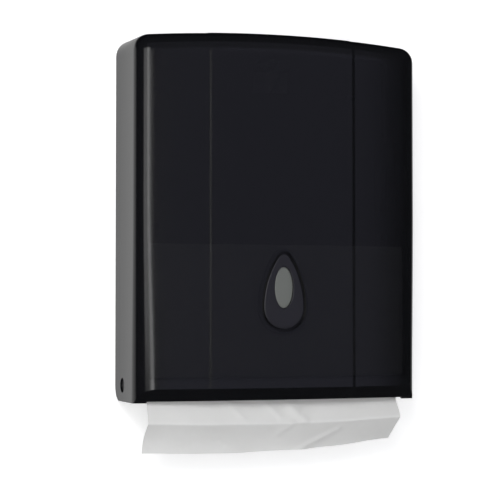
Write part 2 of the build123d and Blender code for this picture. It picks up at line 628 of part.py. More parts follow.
with BuildPart() as lock_barrel:
    head_floor = LOCK_SEAT + LOCK_FLANGE - BARREL_HEAD_HEIGHT
    with BuildSketch(Plane.XY.offset(head_floor + SEAT_GAP)):
        with Locations((0, -LOCK_OUT)):
            Circle(BARREL_HEAD_RADIUS)
    extrude(amount=BARREL_HEAD_HEIGHT - SEAT_GAP)
    with BuildSketch(Plane.XY.offset(CAM_TOP)):
        with Locations((0, -LOCK_OUT)):
            Circle(BARREL_RADIUS)
    extrude(amount=head_floor + SEAT_GAP - CAM_TOP)
    with BuildSketch(Plane.XY.offset(CAM_TOP)):
        with Locations((0, -LOCK_OUT)):
            Rectangle(TAIL_SQUARE, TAIL_SQUARE)
    extrude(amount=TAIL_END - CAM_TOP)
    with BuildSketch(Plane.XY.offset(LOCK_SEAT + LOCK_FLANGE)):
        with Locations((0, -LOCK_OUT)):
            SlotOverall(KEYWAY_LENGTH, KEYWAY_WIDTH, rotation=90)
    extrude(amount=-KEYWAY_DEPTH, mode=Mode.SUBTRACT)
    with BuildSketch(Plane.XY.offset(TAIL_END)):
        with Locations((0, -LOCK_OUT)):
            Circle(CAM_SCREW_RADIUS + SCREW_FIT)
    extrude(amount=CAM_SCREW_DEPTH + SCREW_FIT, mode=Mode.SUBTRACT)

with BuildPart() as lock_cam:
    with BuildSketch(Plane.XY.offset(CAM_TOP)):
        with Locations((0, -LOCK_OUT)):
            Circle(CAM_WIDTH / 2 + CAM_THICKNESS)
            SlotCenterPoint((0, 0), (0, CAM_LENGTH - CAM_WIDTH / 2), CAM_WIDTH)
            Rectangle(TAIL_SQUARE + 2 * TAIL_FIT, TAIL_SQUARE + 2 * TAIL_FIT, mode=Mode.SUBTRACT)
    extrude(amount=-CAM_THICKNESS)

with BuildPart() as cam_washer:
    with BuildSketch(Plane.XY.offset(CAM_UNDERSIDE)):
        with Locations((0, -LOCK_OUT)):
            Circle(WASHER_RADIUS)
            Circle(CAM_SCREW_RADIUS + SCREW_FIT, mode=Mode.SUBTRACT)
    extrude(amount=-WASHER_THICKNESS)

with BuildPart() as cam_screw:
    with BuildSketch(Plane.XY.offset(CAM_UNDERSIDE - WASHER_THICKNESS)):
        with Locations((0, -LOCK_OUT)):
            Circle(SCREW_HEAD_RADIUS + CAM_SCREW_RADIUS / 2)
    extrude(amount=-CAM_HEAD_HEIGHT)
    chamfer(cam_screw.faces().sort_by(Axis.Z)[0].edges(), SCREW_HEAD_BEVEL)
    with BuildSketch(Plane.XY.offset(CAM_UNDERSIDE - WASHER_THICKNESS)):
        with Locations((0, -LOCK_OUT)):
            Circle(CAM_SCREW_RADIUS)
    extrude(amount=TAIL_END + CAM_SCREW_DEPTH - CAM_UNDERSIDE + WASHER_THICKNESS)

# ------------------------------------------------------------------ strike behind which the cam turns
with BuildPart() as lock_strike:
    with BuildSketch(Plane.XZ.offset(-PLATE_FRONT)) as strike_flange:
        with Locations((STRIKE_OFFSET, STRIKE_FLANGE_Z)):
            Rectangle(STRIKE_FLANGE_WIDTH, STRIKE_FLANGE_HEIGHT)
        fillet(strike_flange.vertices().group_by(Axis.Y)[0], STRIKE_THICKNESS)
        with Locations(*STRIKE_SCREWS):
            Circle(SCREW_RADIUS + SCREW_FIT, mode=Mode.SUBTRACT)
    extrude(amount=STRIKE_THICKNESS)
    with BuildSketch(Plane.YZ.offset(STRIKE_OFFSET - STRIKE_ARM_WIDTH / 2)):
        with BuildLine():
            Polyline(
                (PLATE_FRONT, STRIKE_ARM_TOP),
                (STRIKE_REAR_FACE, STRIKE_ARM_TOP),
                (STRIKE_REAR_FACE, CAM_TOP + STRIKE_OVER),
                (STRIKE_REAR_FACE - STRIKE_POST, CAM_TOP + STRIKE_OVER),
                (STRIKE_REAR_FACE - STRIKE_POST, STRIKE_ARM_TOP - STRIKE_THICKNESS),
                (PLATE_FRONT, STRIKE_ARM_TOP - STRIKE_THICKNESS),
                close=True,
            )
        make_face()
    extrude(amount=STRIKE_ARM_WIDTH)
    # web under the arm
    with BuildSketch(Plane.YZ.offset(STRIKE_OFFSET - STRIKE_THICKNESS / 2)):
        with BuildLine():
            Polyline(
                (PLATE_FRONT - STRIKE_THICKNESS, STRIKE_ARM_TOP - STRIKE_THICKNESS),
                (STRIKE_REAR_FACE, STRIKE_ARM_TOP - STRIKE_THICKNESS),
                (PLATE_FRONT - STRIKE_THICKNESS, STRIKE_FLANGE_Z - STRIKE_FLANGE_HEIGHT / 2),
                close=True,
            )
        make_face()
    extrude(amount=STRIKE_THICKNESS)

# ------------------------------------------------------------------ towels
with BuildPart() as towel_stack:
    with BuildSketch(Plane.XY.offset(STACK_FOOT)) as stack_plan:
        with Locations((0, STACK_REAR)):
            Rectangle(SHEET_WIDTH, FOLD_DEPTH, align=(Align.CENTER, Align.MAX))
        fillet(stack_plan.vertices(), STACK_ROUND)
    extrude(amount=FOOT_Z + STACK_TOP_UP - STACK_FOOT)

with BuildPart() as hanging_towel:
    with BuildSketch(Plane.YZ.offset(-SHEET_WIDTH / 2)):
        flap = Vector(0, -FOLD_DEPTH / 2).rotate(Axis.Z, FLAP_LEAN)
        with BuildLine():
            upper = FilletPolyline(
                (-TAIL_OUT, SHEET_Z),
                (DROP_Y, SHEET_Z),
                (DROP_Y, FOOT_Z),
                (DROP_Y - CREASE_AHEAD, FOOT_Z + CREASE_UP),
                radius=TOWEL_BEND,
            )
            Line(upper @ 1, (upper @ 1) + flap)
        trace(line_width=SHEET_THICKNESS)
    extrude(amount=SHEET_WIDTH)

# ------------------------------------------------------------------ STEP files
PIECES = {
    "front_cover": front_cover,
    "window_bezel": window_bezel,
    "sight_lens": sight_lens,
    "lens_retainer": lens_retainer,
    "retainer_screws": retainer_screws,
    "lock_housing": lock_housing,
    "lock_nut": lock_nut,
    "lock_barrel": lock_barrel,
    "lock_cam": lock_cam,
    "cam_washer": cam_washer,
    "cam_screw": cam_screw,
    "back_plate": back_plate,
    "towel_shelf": towel_shelf,
    "shelf_screws": shelf_screws,
    "guide_screws": guide_screws,
    "lock_strike": lock_strike,
    "strike_screws": strike_screws,
    "towel_stack": towel_stack,
    "hanging_towel": hanging_towel,
    **guides,
    **pins,
}
for name, piece in PIECES.items():
    piece.part.label = name
    export_step(piece.part, f"parts/{name}.step")
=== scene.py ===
"""Looks of the wall dispenser for folded towels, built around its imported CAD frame.

Metres, +Z up, the wall is the plane y = 0 and the front faces -Y, as in the frame.
"""
import json
from contextlib import contextmanager
from math import atan, copysign, cos, exp, hypot, inf, pi, radians, sin, sqrt

import bmesh
import bpy
from mathutils import Matrix, Quaternion, Vector, noise


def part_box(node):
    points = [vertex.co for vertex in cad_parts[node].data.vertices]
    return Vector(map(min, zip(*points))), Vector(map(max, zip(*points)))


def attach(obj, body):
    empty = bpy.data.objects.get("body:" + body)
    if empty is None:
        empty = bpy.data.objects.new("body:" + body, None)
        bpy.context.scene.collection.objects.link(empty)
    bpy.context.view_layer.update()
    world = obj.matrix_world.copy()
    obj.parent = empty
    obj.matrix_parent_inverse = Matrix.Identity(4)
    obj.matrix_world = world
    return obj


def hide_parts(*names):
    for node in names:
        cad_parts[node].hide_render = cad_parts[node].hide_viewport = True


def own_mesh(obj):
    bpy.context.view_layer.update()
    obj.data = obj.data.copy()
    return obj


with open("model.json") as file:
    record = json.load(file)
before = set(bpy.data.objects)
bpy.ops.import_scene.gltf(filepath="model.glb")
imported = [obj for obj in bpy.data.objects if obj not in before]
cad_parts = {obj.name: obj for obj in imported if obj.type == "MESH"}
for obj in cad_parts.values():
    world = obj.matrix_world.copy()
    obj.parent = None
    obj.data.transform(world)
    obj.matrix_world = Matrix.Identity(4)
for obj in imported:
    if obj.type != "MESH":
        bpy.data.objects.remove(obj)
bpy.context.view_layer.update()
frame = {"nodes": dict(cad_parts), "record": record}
MM = 0.001

# ---------- places read from the frame
plate_low, plate_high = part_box("back_plate")
cover_low, cover_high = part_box("front_cover")
FOOT = cover_low.z
BODIES = frame["record"]["behaviour"]["bodies"]
BODY_OF = {node: body for body, nodes in BODIES.items() for node in nodes}
SLOT_OF = {row["node"]: row["material_slot"] for row in frame["record"]["subparts"]}

# ---------- camera
CAMERA_PLACE = (-0.546, -1.529, FOOT + 0.0845)
CAMERA_RISE = radians(92.05)
CAMERA_TURN = radians(-19.5)
CAMERA_LENS = 120.74
CAMERA_REACH = (0.05, 50)
SENSOR = 36.0


def placed(name, data):
    """An object with that data, linked to the scene."""
    item = bpy.data.objects.new(name, data)
    bpy.context.scene.collection.objects.link(item)
    return item


def make_camera():
    data = bpy.data.cameras.new("camera")
    data.lens = CAMERA_LENS
    data.sensor_width = SENSOR
    data.clip_start, data.clip_end = CAMERA_REACH
    camera = placed("camera", data)
    camera.location = CAMERA_PLACE
    camera.rotation_euler = (CAMERA_RISE, 0, CAMERA_TURN)
    bpy.context.scene.camera = camera


# ---------- node helpers
def node_tree_of(name):
    material = bpy.data.materials.new(name)
    material.use_nodes = True
    tree = material.node_tree
    tree.nodes.clear()
    return material, tree


def put(tree, socket, value):
    """A value for an input, or a link to it."""
    if isinstance(value, bpy.types.NodeSocket):
        tree.links.new(value, socket)
    else:
        socket.default_value = value


def fill(tree, node, **sockets):
    """The node, with values for its named inputs or links to them."""
    for name, value in sockets.items():
        put(tree, node.inputs[name.replace("_", " ")], value)
    return node


def add(tree, kind, **sockets):
    return fill(tree, tree.nodes.new(kind), **sockets)


def add_in_order(tree, kind, *values):
    """A node whose inputs take the values in order."""
    node = tree.nodes.new(kind)
    for socket, value in zip(node.inputs, values):
        put(tree, socket, value)
    return node


def place_group(tree, group, **sockets):
    node = tree.nodes.new("ShaderNodeGroup")
    node.node_tree = group
    return fill(tree, node, **sockets)


def math_node(tree, operation, a, b=0.0, clamp=False):
    node = tree.nodes.new("ShaderNodeMath")
    node.operation = operation
    node.use_clamp = clamp
    put(tree, node.inputs[0], a)
    put(tree, node.inputs[1], b)
    return node.outputs[0]


def product(tree, first, *others):
    for other in others:
        first = math_node(tree, "MULTIPLY", first, other)
    return first


def mix_colour(tree, factor, a, b):
    node = add(tree, "ShaderNodeMix", Factor=factor)
    node.data_type = "RGBA"
    put(tree, node.inputs[6], a)
    put(tree, node.inputs[7], b)
    return node.outputs[2]


def spread(tree, value, low, high, start=0.0, end=1.0, kind="LINEAR"):
    """A value that runs from start to end spread over low..high."""
    sockets = {"From Min": start, "From Max": end, "To Min": low, "To Max": high}
    node = add(tree, "ShaderNodeMapRange", Value=value, **sockets)
    node.interpolation_type = kind
    return node.outputs["Result"]


def falling(tree, value, start, end):
    """1 up to start, easing to 0 at end."""
    return spread(tree, value, 1.0, 0.0, start, end, "SMOOTHSTEP")


def noise_at(tree, place, scale, detail, roughness=0.5):
    sockets = {"Vector": place, "Scale": scale, "Detail": detail, "Roughness": roughness}
    return add(tree, "ShaderNodeTexNoise", **sockets).outputs["Fac"]


def stretched(tree, place, scale):
    return add(tree, "ShaderNodeMapping", Vector=place, Scale=scale).outputs["Vector"]


def object_place(tree):
    return tree.nodes.new("ShaderNodeTexCoord").outputs["Object"]


FLOAT, VECTOR = "NodeSocketFloat", "NodeSocketVector"


def new_group(name, inputs, outputs):
    """A shader node group: its tree, the outputs of its input node, and its output node."""
    tree = bpy.data.node_groups.new(name, "ShaderNodeTree")
    for label, kind, value in inputs:
        socket = tree.interface.new_socket(name=label, in_out="INPUT", socket_type=kind)
        if value is not None:
            socket.default_value = value
    for label in outputs:
        tree.interface.new_socket(name=label, in_out="OUTPUT", socket_type=FLOAT)
    inside = tree.nodes.new("NodeGroupInput")
    return tree, inside.outputs, tree.nodes.new("NodeGroupOutput")


# ---------- shared surface effects
# noise values between which each mask rises
SCRATCH_RISE, DUST_RISE, DOT_RISE = (0.70, 0.76), (0.60, 0.80), (0.10, 0.34)
# scales of noise, where three stretch it along Z or X
HAIRLINES, CREPE_LINES = (900, 900, 14), (140, 1500, 1500)
SPECKS, FIBRES, CLOUDS = 420.0, 2600.0, 30.0
FIBRE_HEIGHT, CREPE_HEIGHT, DOT_HEIGHT = 0.45, 0.6, 0.5


def moulded_grain_group():
    """Fine moulding texture, as a grain to bump with and slow patches that vary the gloss."""
    inputs = [("Place", VECTOR, None), ("Grain Scale", FLOAT, 1200.0), ("Patch Scale", FLOAT, 18.0)]
    tree, inside, out = new_group("moulded grain", inputs, ["Height", "Patches"])
    grain = noise_at(tree, inside["Place"], inside["Grain Scale"], 3)
    patches = noise_at(tree, inside["Place"], inside["Patch Scale"], 5, 0.62)
    fill(tree, out, Height=grain, Patches=patches)
    return tree


def handling_group():
    """Hairline scratches and settled dust, as masks."""
    inputs = [("Place", VECTOR, None), ("Amount", FLOAT, 0.5)]
    tree, inside, out = new_group("handling marks", inputs, ["Scratches", "Dust"])
    strokes = noise_at(tree, stretched(tree, inside["Place"], HAIRLINES), 1.0, 2)
    strokes = spread(tree, strokes, 0.0, 1.0, *SCRATCH_RISE)
    specks = spread(tree, noise_at(tree, inside["Place"], SPECKS, 4), 0.0, 1.0, *DUST_RISE)
    scratches, dust = (product(tree, mask, inside["Amount"]) for mask in (strokes, specks))
    fill(tree, out, Scratches=scratches, Dust=dust)
    return tree


def paper_group():
    """Fibres, crepe lines and small embossed dots of towel paper."""
    inputs = [("Place", VECTOR, None), ("Dot Pitch", FLOAT, 0.0042)]
    tree, inside, out = new_group("towel paper", inputs, ["Height", "Cloud", "Fibres"])
    place = inside["Place"]
    fibres = noise_at(tree, place, FIBRES, 6, 0.7)
    crepe = noise_at(tree, stretched(tree, place, CREPE_LINES), 1.0, 3)
    dot_scale = math_node(tree, "DIVIDE", 1.0, inside["Dot Pitch"])
    dots = add(tree, "ShaderNodeTexVoronoi", Vector=place, Scale=dot_scale, Randomness=0.15)
    pits = spread(tree, dots.outputs["Distance"], 0.0, DOT_HEIGHT, *DOT_RISE)
    rough = product(tree, fibres, FIBRE_HEIGHT), product(tree, crepe, CREPE_HEIGHT)
    height = math_node(tree, "ADD", math_node(tree, "ADD", *rough), pits)
    fill(tree, out, Height=height, Cloud=noise_at(tree, place, CLOUDS, 5), Fibres=fibres)
    return tree


MOULDED_GRAIN = moulded_grain_group()
HANDLING = handling_group()
PAPER = paper_group()


# ---------- materials
# where the cover is see-through, in metres: from fully clear to opaque
CLEAR_ACROSS = (0.124, 0.133)
CLEAR_TOP = (0.318, 0.330)
CLEAR_FOOT = (0.018, 0.025)
# how far roughness drifts with the patches, and what dust and scratches add to it
PLASTIC_DRIFT = (0.88, 1.14)
METAL_DRIFT = (0.7, 1.35)
PAPER_ROUGHNESS = (0.82, 0.97)
DULLING = {"Dust": 0.2, "Scratches": 0.12}
# colour of the painted shade deep in the gap around a piece
PAINTED_GROOVE_SHADE = (0.001, 0.001, 0.001, 1)


def finish_material(tree, height, depth, **sockets):
    """A Principled surface with those inputs, and a bump of that depth from the height."""
    bump = add(tree, "ShaderNodeBump", Height=height, Distance=depth, Strength=1.0)
    shader = add(tree, "ShaderNodeBsdfPrincipled", Normal=bump.outputs["Normal"], **sockets)
    add(tree, "ShaderNodeOutputMaterial", Surface=shader.outputs[0])


def drifting(tree, patches, colour, worn, roughness, drift):
    """A colour that drifts towards worn in patches, and a roughness that varies with them."""
    tint = mix_colour(tree, patches, (*colour, 1), (*worn, 1))
    return tint, spread(tree, patches, drift[0] * roughness, drift[1] * roughness)


def clear_zone(tree):
    """1 where the smoked cover is see-through; 0 along its edges and lip."""
    parts = add(tree, "ShaderNodeSeparateXYZ", Vector=object_place(tree))
    across = math_node(tree, "ABSOLUTE", parts.outputs["X"])
    height = math_node(tree, "SUBTRACT", parts.outputs["Z"], FOOT)
    inside, below = falling(tree, across, *CLEAR_ACROSS), falling(tree, height, *CLEAR_TOP)
    above = math_node(tree, "SUBTRACT", 1.0, falling(tree, height, *CLEAR_FOOT))
    return product(tree, inside, below, above)


def plastic(
    name, colour, worn, roughness, depth, grain_scale=1200.0, dust=0.3, clear=None, ior=1.5, groove_shade=None
):
    """Moulded plastic with patches, dust and scratches in its gloss.

    clear is how much light each face of a see-through wall lets by, where clear_zone says so.
    The groove span gives where, along Y, the colour sinks to black between the piece and its surround:
    painted shade deep in that gap.
    """
    material, tree = node_tree_of(name)
    place = object_place(tree)
    grain = place_group(tree, MOULDED_GRAIN, Place=place, Grain_Scale=grain_scale).outputs
    marks = place_group(tree, HANDLING, Place=place, Amount=dust).outputs
    tint, gloss = drifting(tree, grain["Patches"], colour, worn, roughness, PLASTIC_DRIFT)
    for mark, dulls in DULLING.items():
        gloss = math_node(tree, "ADD", gloss, product(tree, marks[mark], dulls), clamp=True)
    # painted shade: deep in the gap around the piece the colour sinks to black
    if groove_shade:
        along = add(tree, "ShaderNodeSeparateXYZ", Vector=place).outputs["Y"]
        tint = mix_colour(tree, falling(tree, along, *groove_shade), PAINTED_GROOVE_SHADE, tint)
    sockets = {"Base Color": tint, "Roughness": gloss, "IOR": ior}
    if clear:
        sockets["Alpha"] = spread(tree, clear_zone(tree), 1.0, 1.0 - clear)
    finish_material(tree, grain["Height"], depth, **sockets)
    return material


def metal(name, colour, tarnish, roughness, depth=0.000004):
    """Plated or polished metal, its tint and gloss drifting in small patches."""
    material, tree = node_tree_of(name)
    scales = {"Grain Scale": 900.0, "Patch Scale": 160.0}
    grain = place_group(tree, MOULDED_GRAIN, Place=object_place(tree), **scales).outputs
    tint, gloss = drifting(tree, grain["Patches"], colour, tarnish, roughness, METAL_DRIFT)
    finish_material(tree, grain["Height"], depth, Base_Color=tint, Roughness=gloss, Metallic=1.0)
    return material


def paper(name, colour, shade, depth=0.00006):
    """Soft towel paper, a little darker in clouds."""
    material, tree = node_tree_of(name)
    fibres = place_group(tree, PAPER, Place=object_place(tree)).outputs
    sockets = {
        "Base Color": mix_colour(tree, fibres["Cloud"], (*colour, 1), (*shade, 1)),
        "Roughness": spread(tree, fibres["Fibres"], *PAPER_ROUGHNESS),
        "Specular IOR Level": 0.2,
        "Sheen Weight": 0.08,
    }
    finish_material(tree, fibres["Height"], depth, **sockets)
    return material


FINISHES = {
    "smoked_plastic": plastic(
        "smoked plastic", (0.0043, 0.0045, 0.0058), (0.0052, 0.0054, 0.0066),
        roughness=0.16, depth=0.000003, dust=0.25, clear=0.262, ior=1.59,
    ),
    "insert_plastic": plastic(
        "insert plastic", (0.014, 0.0138, 0.018), (0.017, 0.0165, 0.020),
        # painted shade deep in the gap between the window insert and its pocket
        roughness=0.24, depth=0.000006, groove_shade=(-0.0810, -0.0800),
    ),
    "sight_window": plastic(
        "sight window", (0.13, 0.14, 0.13), (0.16, 0.165, 0.155),
        roughness=0.30, depth=0.000003, dust=0.1,
    ),
    "base_plastic": plastic(
        "dark base plastic", (0.020, 0.020, 0.021), (0.028, 0.028, 0.028),
        roughness=0.45, depth=0.000015, grain_scale=700.0,
    ),
    "black_plastic": plastic(
        "black plastic", (0.014, 0.014, 0.0145), (0.021, 0.021, 0.021),
        roughness=0.42, depth=0.000015, grain_scale=700.0,
    ),
    "zinc_steel": metal("zinc plated steel", (0.50, 0.51, 0.52), (0.36, 0.37, 0.38), roughness=0.34),
    "lock_chrome": metal("polished chrome", (0.72, 0.72, 0.73), (0.60, 0.60, 0.62), 0.12, 0.000001),
    "towel_paper": paper("towel paper", (0.80, 0.80, 0.79), (0.73, 0.73, 0.715)),
}


# ---------- mesh helpers
ALIKE = cos(radians(20))    # faces closer in direction than this share their corner normals
FLAT = radians(0.05)        # faces of a CAD mesh closer than this lie in one plane
TINY, SMALL = 0.002 * MM, 0.004 * MM


def link_piece(name, mesh, body, slot):
    piece = placed(name, mesh)
    mesh.materials.clear()
    mesh.materials.append(FINISHES[slot])
    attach(piece, body)
    return piece


def shade_smooth(mesh, degrees=32):
    mesh.polygons.foreach_set("use_smooth", [True] * len(mesh.polygons))
    mesh.set_sharp_from_angle(angle=radians(degrees))


def evaluated_mesh(piece, *spare):
    """The piece's mesh with its modifiers applied; the piece and the spare objects are removed."""
    graph = bpy.context.evaluated_depsgraph_get()
    graph.update()
    mesh = bpy.data.meshes.new_from_object(piece.evaluated_get(graph))
    for item in (piece, *spare):
        bpy.data.objects.remove(item)
    return mesh


@contextmanager
def reworked(mesh):
    """A bmesh of the mesh, written back to it at the end."""
    work = bmesh.new()
    work.from_mesh(mesh)
    yield work
    work.to_mesh(mesh)
    work.free()


def level_normals(mesh):
    """Normals weighted by face area, so that large flat faces stay level beside small rounds."""
    work = bmesh.new()
    work.from_mesh(mesh)
    number = {}
    for face in work.faces:
        for loop in face.loops:
            number[loop] = len(number)
    normals = [None] * len(number)
    for vert in work.verts:
        left = {loop.face: loop for loop in vert.link_loops}
        while left:
            fan = [left.popitem()[1]]
            for corner in fan:
                for edge in (corner.edge, corner.link_loop_prev.edge):
                    for other in edge.link_faces:
                        if edge.smooth and other in left:
                            fan.append(left.pop(other))
            for corner in fan:
                own, total = corner.face.normal, Vector()
                for other in fan:
                    if own.dot(other.face.normal) > ALIKE:
                        total += other.face.normal * other.face.calc_area()
                normals[number[corner]] = total.normalized()
    work.free()
    mesh.normals_split_custom_set(normals)


def smooth_copy(node):
    """A merged copy of a CAD node's mesh, rounded where the CAD is and flat where it is flat."""
    mesh = frame["nodes"][node].data.copy()
    with reworked(mesh) as work:
        bmesh.ops.remove_doubles(work, verts=work.verts, dist=TINY)
        bmesh.ops.dissolve_limit(work, angle_limit=FLAT, verts=work.verts, edges=work.edges)
    shade_smooth(mesh)
    level_normals(mesh)
    mesh.name = node + "_shown"
    return mesh


def to_mesh(name, points, faces):
    """Mesh from mm above the feet, with its faces turned outwards."""
    mesh = bpy.data.meshes.new(name)
    mesh.from_pydata([(p[0] * MM, p[1] * MM, p[2] * MM + FOOT) for p in points], [], faces)
    with reworked(mesh) as work:
        bmesh.ops.recalc_face_normals(work, faces=work.faces)
        if work.calc_volume(signed=True) < 0:
            bmesh.ops.reverse_faces(work, faces=work.faces)
    return mesh


# where a prism's outline (a, b) and its length go in x, y and z, for each axis that it runs along
ALONG = {"x": (2, 0, 1), "y": (0, 2, 1), "z": (0, 1, 2)}
ROUND_SIDES = 64
CUT, JOIN = "DIFFERENCE", "UNION"


def prism(name, outline, start, end, axis):
    """A prism along an axis, over a closed outline of pairs on the other two axes."""
    count = len(outline)
    spots = [(a, b, along) for along in (start, end) for a, b in outline]
    points = [tuple(spot[k] for k in ALONG[axis]) for spot in spots]
    faces = [tuple(range(count)), tuple(range(2 * count - 1, count - 1, -1))]
    faces += [(i, (i + 1) % count, count + (i + 1) % count, count + i) for i in range(count)]
    return to_mesh(name, points, faces)


def ring_of(radius, a0, b0):
    turns = [2 * pi * i / ROUND_SIDES for i in range(ROUND_SIDES)]
    return [(a0 + radius * cos(t), b0 + radius * sin(t)) for t in turns]


def box_mesh(name, x, y, z):
    return prism(name, [(y[0], z[0]), (y[1], z[0]), (y[1], z[1]), (y[0], z[1])], x[0], x[1], "x")


def combine(mesh, steps):
    """Boolean steps, each (CUT or JOIN, tool mesh), run in order on a mesh."""
    piece = placed("shaping", mesh)
    tools = []
    for operation, shape in steps:
        tools.append(placed("tool", shape))
        modifier = piece.modifiers.new("cut", "BOOLEAN")
        modifier.operation = operation
        modifier.solver = "EXACT"
        modifier.object = tools[-1]
    result = evaluated_mesh(piece, *tools)
    with reworked(result) as work:
        bmesh.ops.remove_doubles(work, verts=work.verts, dist=SMALL)
        bmesh.ops.dissolve_degenerate(work, edges=work.edges, dist=TINY)
        bmesh.ops.recalc_face_normals(work, faces=work.faces)
    return result


def loop_mesh(name, loops, closed=True):
    """Quads between successive loops of points; unless closed, a fan shuts the first and the last."""
    count = len(loops[0])
    points = [p for loop in loops for p in loop]
    faces = []
    for i in range(len(loops) if closed else len(loops) - 1):
        a, b = i * count, (i + 1) % len(loops) * count
        faces += [(a + k, a + (k + 1) % count, b + (k + 1) % count, b + k) for k in range(count)]
    for i in () if closed else (0, len(loops) - 1):
        a = i * count
        faces += [(a + k, a + (k + 1) % count, len(points)) for k in range(count)]
        points.append(sum((Vector(p) for p in loops[i]), Vector()) / count)
    return to_mesh(name, points, faces)


def clamped(t):
    return min(1.0, max(0.0, t))


def ease(t, straight=0.0):
    """A share from 0 to 1 eased at both ends, apart from its straight part."""
    return straight * t + (1 - straight) * t * t * (3 - 2 * t)


def steps_between(a, b, pitch):
    count = max(1, round(abs(b - a) / pitch))
    return [a + (b - a) * i / count for i in range(count + 1)]


# ---------- cover, in mm, heights above the feet
HALF = 1000 * cover_high.x
HEIGHT = 337.5
DEPTH = 81.567
SKIN = 2.4
BOW = 8.5
CROWN = 6.0
FALL = 3.0 / DEPTH
EDGE_ROUND = 13.0
FOOT_GROWTH = 4.2           # how much wider the edge round is at the foot, from GROWTH_TOP down
GROWTH_TOP = 190.0
SHOULDER = 6.0              # how far the edge round is eased to both sides of where it meets the bow
CORNER_ROUND = 15.0
HEEL_ROUND = 14.0
LIP_HEIGHT = 13.0
LIP_RUN = 11.0
FOOT_RISE = 1.5
FOOT_WIDTH = 12.5
PANEL_HALF = 70.7
PANEL_RISE = 0.32
PANEL_RAMP = 3.2
FLANK_STRAIGHT = 0.6
HINGE = (-26.0, 15.0)       # y and height
HINGE_BORE = 6.85
HINGE_BOSS = 9.5
BOSS_ENDS = (SKIN + 2.2, 1.2)       # inwards from the side of the cover
BORE_ENDS = (120, 160)
LOCK_OUT = 34.0
LOCK_PROUD = 0.4            # above the plain roof at the lock
LOCK_TOP = HEIGHT + CROWN + LOCK_PROUD - FALL * LOCK_OUT
LOCK_SEAT = LOCK_TOP - 1.4
LOCK_ROUNDS = (             # boss, recess and bore: radius, foot and top
    (JOIN, 14.5, LOCK_SEAT - 6.0, LOCK_TOP - 1.0),
    (CUT, 11.3, LOCK_SEAT, LOCK_TOP + 9),
    (CUT, 8.1, LOCK_SEAT - 20, LOCK_TOP + 9),
)
POCKET = (44.0, 74.0, 8.5)  # width, height, tip radius
POCKET_FOOT = 64.5
POCKET_MIDDLE = POCKET_FOOT + POCKET[0] / 2
POCKET_ENDS = (-120, -60)
# steps of the grid
SIDE_STEPS = 9
EDGE_STEPS = 14
CORNER_STEPS = 8
ROW_PITCH = 8.0
COLUMN_PITCH = 7.0
COLUMN_START = 0.3          # inwards from the corner
FINE_PITCH = 1.5
FLANK_TENTHS = (9, 6, 4, 2, 0, -2, -4, -6, -9)
HEEL_STEP = 0.13
BOWL_STEPS, FLANK_STEPS, TIP_STEP = 24, 26, 0.14
# rear and foot of the forms outside and inside, before their foot is cut
OUTSIDE, INSIDE = (-1.0, -12.0), (EDGE_ROUND, -20.0)
# how far the shapes that are cut from the cover reach beyond it
WIDE, DEEP, UNDER = (-200, 200), (-150, 20), -60
HEEL_UNDER, HEEL_BEHIND = -5.0, 20.0
LIP_WIDE, LIP_OVER, LIP_UNDER, LIP_AHEAD = 150.0, 9, -40.0, -160.0


def panel_rise(x):
    """How far the raised middle panel stands proud at x, with a soft flank."""
    t = clamped((PANEL_HALF + PANEL_RAMP / 2 - abs(x)) / PANEL_RAMP)
    return PANEL_RISE * ease(t, FLANK_STRAIGHT)


def bow_radius(inset):
    half = HALF - inset
    return (half * half + BOW * BOW) / (2 * BOW)


def bow_y(x, inset):
    radius = bow_radius(inset)
    return -DEPTH + inset + radius - sqrt(radius * radius - x * x)


def rows_up(low, high):
    """Heights from low to high, close together below the corner."""
    fine = [high - FINE_PITCH * k for k in (2, 1, 0)]
    return steps_between(low, high - 3 * FINE_PITCH, ROW_PITCH) + fine


def edge_round(height):
    return EDGE_ROUND + FOOT_GROWTH * ease(clamped(1 - height / GROWTH_TOP))


def shoulder(along, length):
    """How far the eased surface lies inside the plain edge round, along mm from its front end."""
    if along <= -SHOULDER:
        return 0.0
    if along < SHOULDER:
        return ((along + SHOULDER) ** 3 / (12 * SHOULDER) - max(0.0, along) ** 2 / 2) / EDGE_ROUND
    t = (along - SHOULDER) / (length - SHOULDER)
    return SHOULDER**2 / 6 / EDGE_ROUND * (1 - ease(t))


def arch_of(inset):
    """Top of the outline: its arch's radius and centre height, and x and height of its corner's centre."""
    half, corner = HALF - inset, CORNER_ROUND - inset
    arch = (half * half + CROWN * CROWN) / (2 * CROWN)
    arch_z = HEIGHT - inset + CROWN - arch
    corner_x = half - corner
    return arch, arch_z, corner_x, arch_z + sqrt((arch - corner) ** 2 - corner_x**2)


def outline_stations(inset, low, across):
    """Right half of the outline seen from the front: (x, z, outward x, outward z), foot to middle."""
    corner = CORNER_ROUND - inset
    arch, arch_z, corner_x, corner_z = arch_of(inset)
    lean = atan(corner_x / (corner_z - arch_z))
    points = [(HALF - inset, z, 1.0, 0.0) for z in rows_up(low, corner_z)]
    for i in range(1, CORNER_STEPS + 1):
        a = (pi / 2 - lean) * i / CORNER_STEPS
        points.append((corner_x + corner * cos(a), corner_z + corner * sin(a), cos(a), sin(a)))
    for x in across:
        a = x / arch
        points.append((arch * sin(a), arch_z + arch * cos(a), sin(a), cos(a)))
    return points


def columns_across(reach):
    """Places across the top from reach to the middle, close together on the panel's flank."""
    flank = [PANEL_HALF + PANEL_RAMP * k / 10 for k in FLANK_TENTHS]
    fine_end = reach - 2 * FINE_PITCH
    outer = steps_between(reach, fine_end, FINE_PITCH)[1:]
    outer += steps_between(fine_end, flank[0], COLUMN_PITCH)[1:]
    return outer + flank[1:] + steps_between(flank[-1], 0, COLUMN_PITCH)[1:]


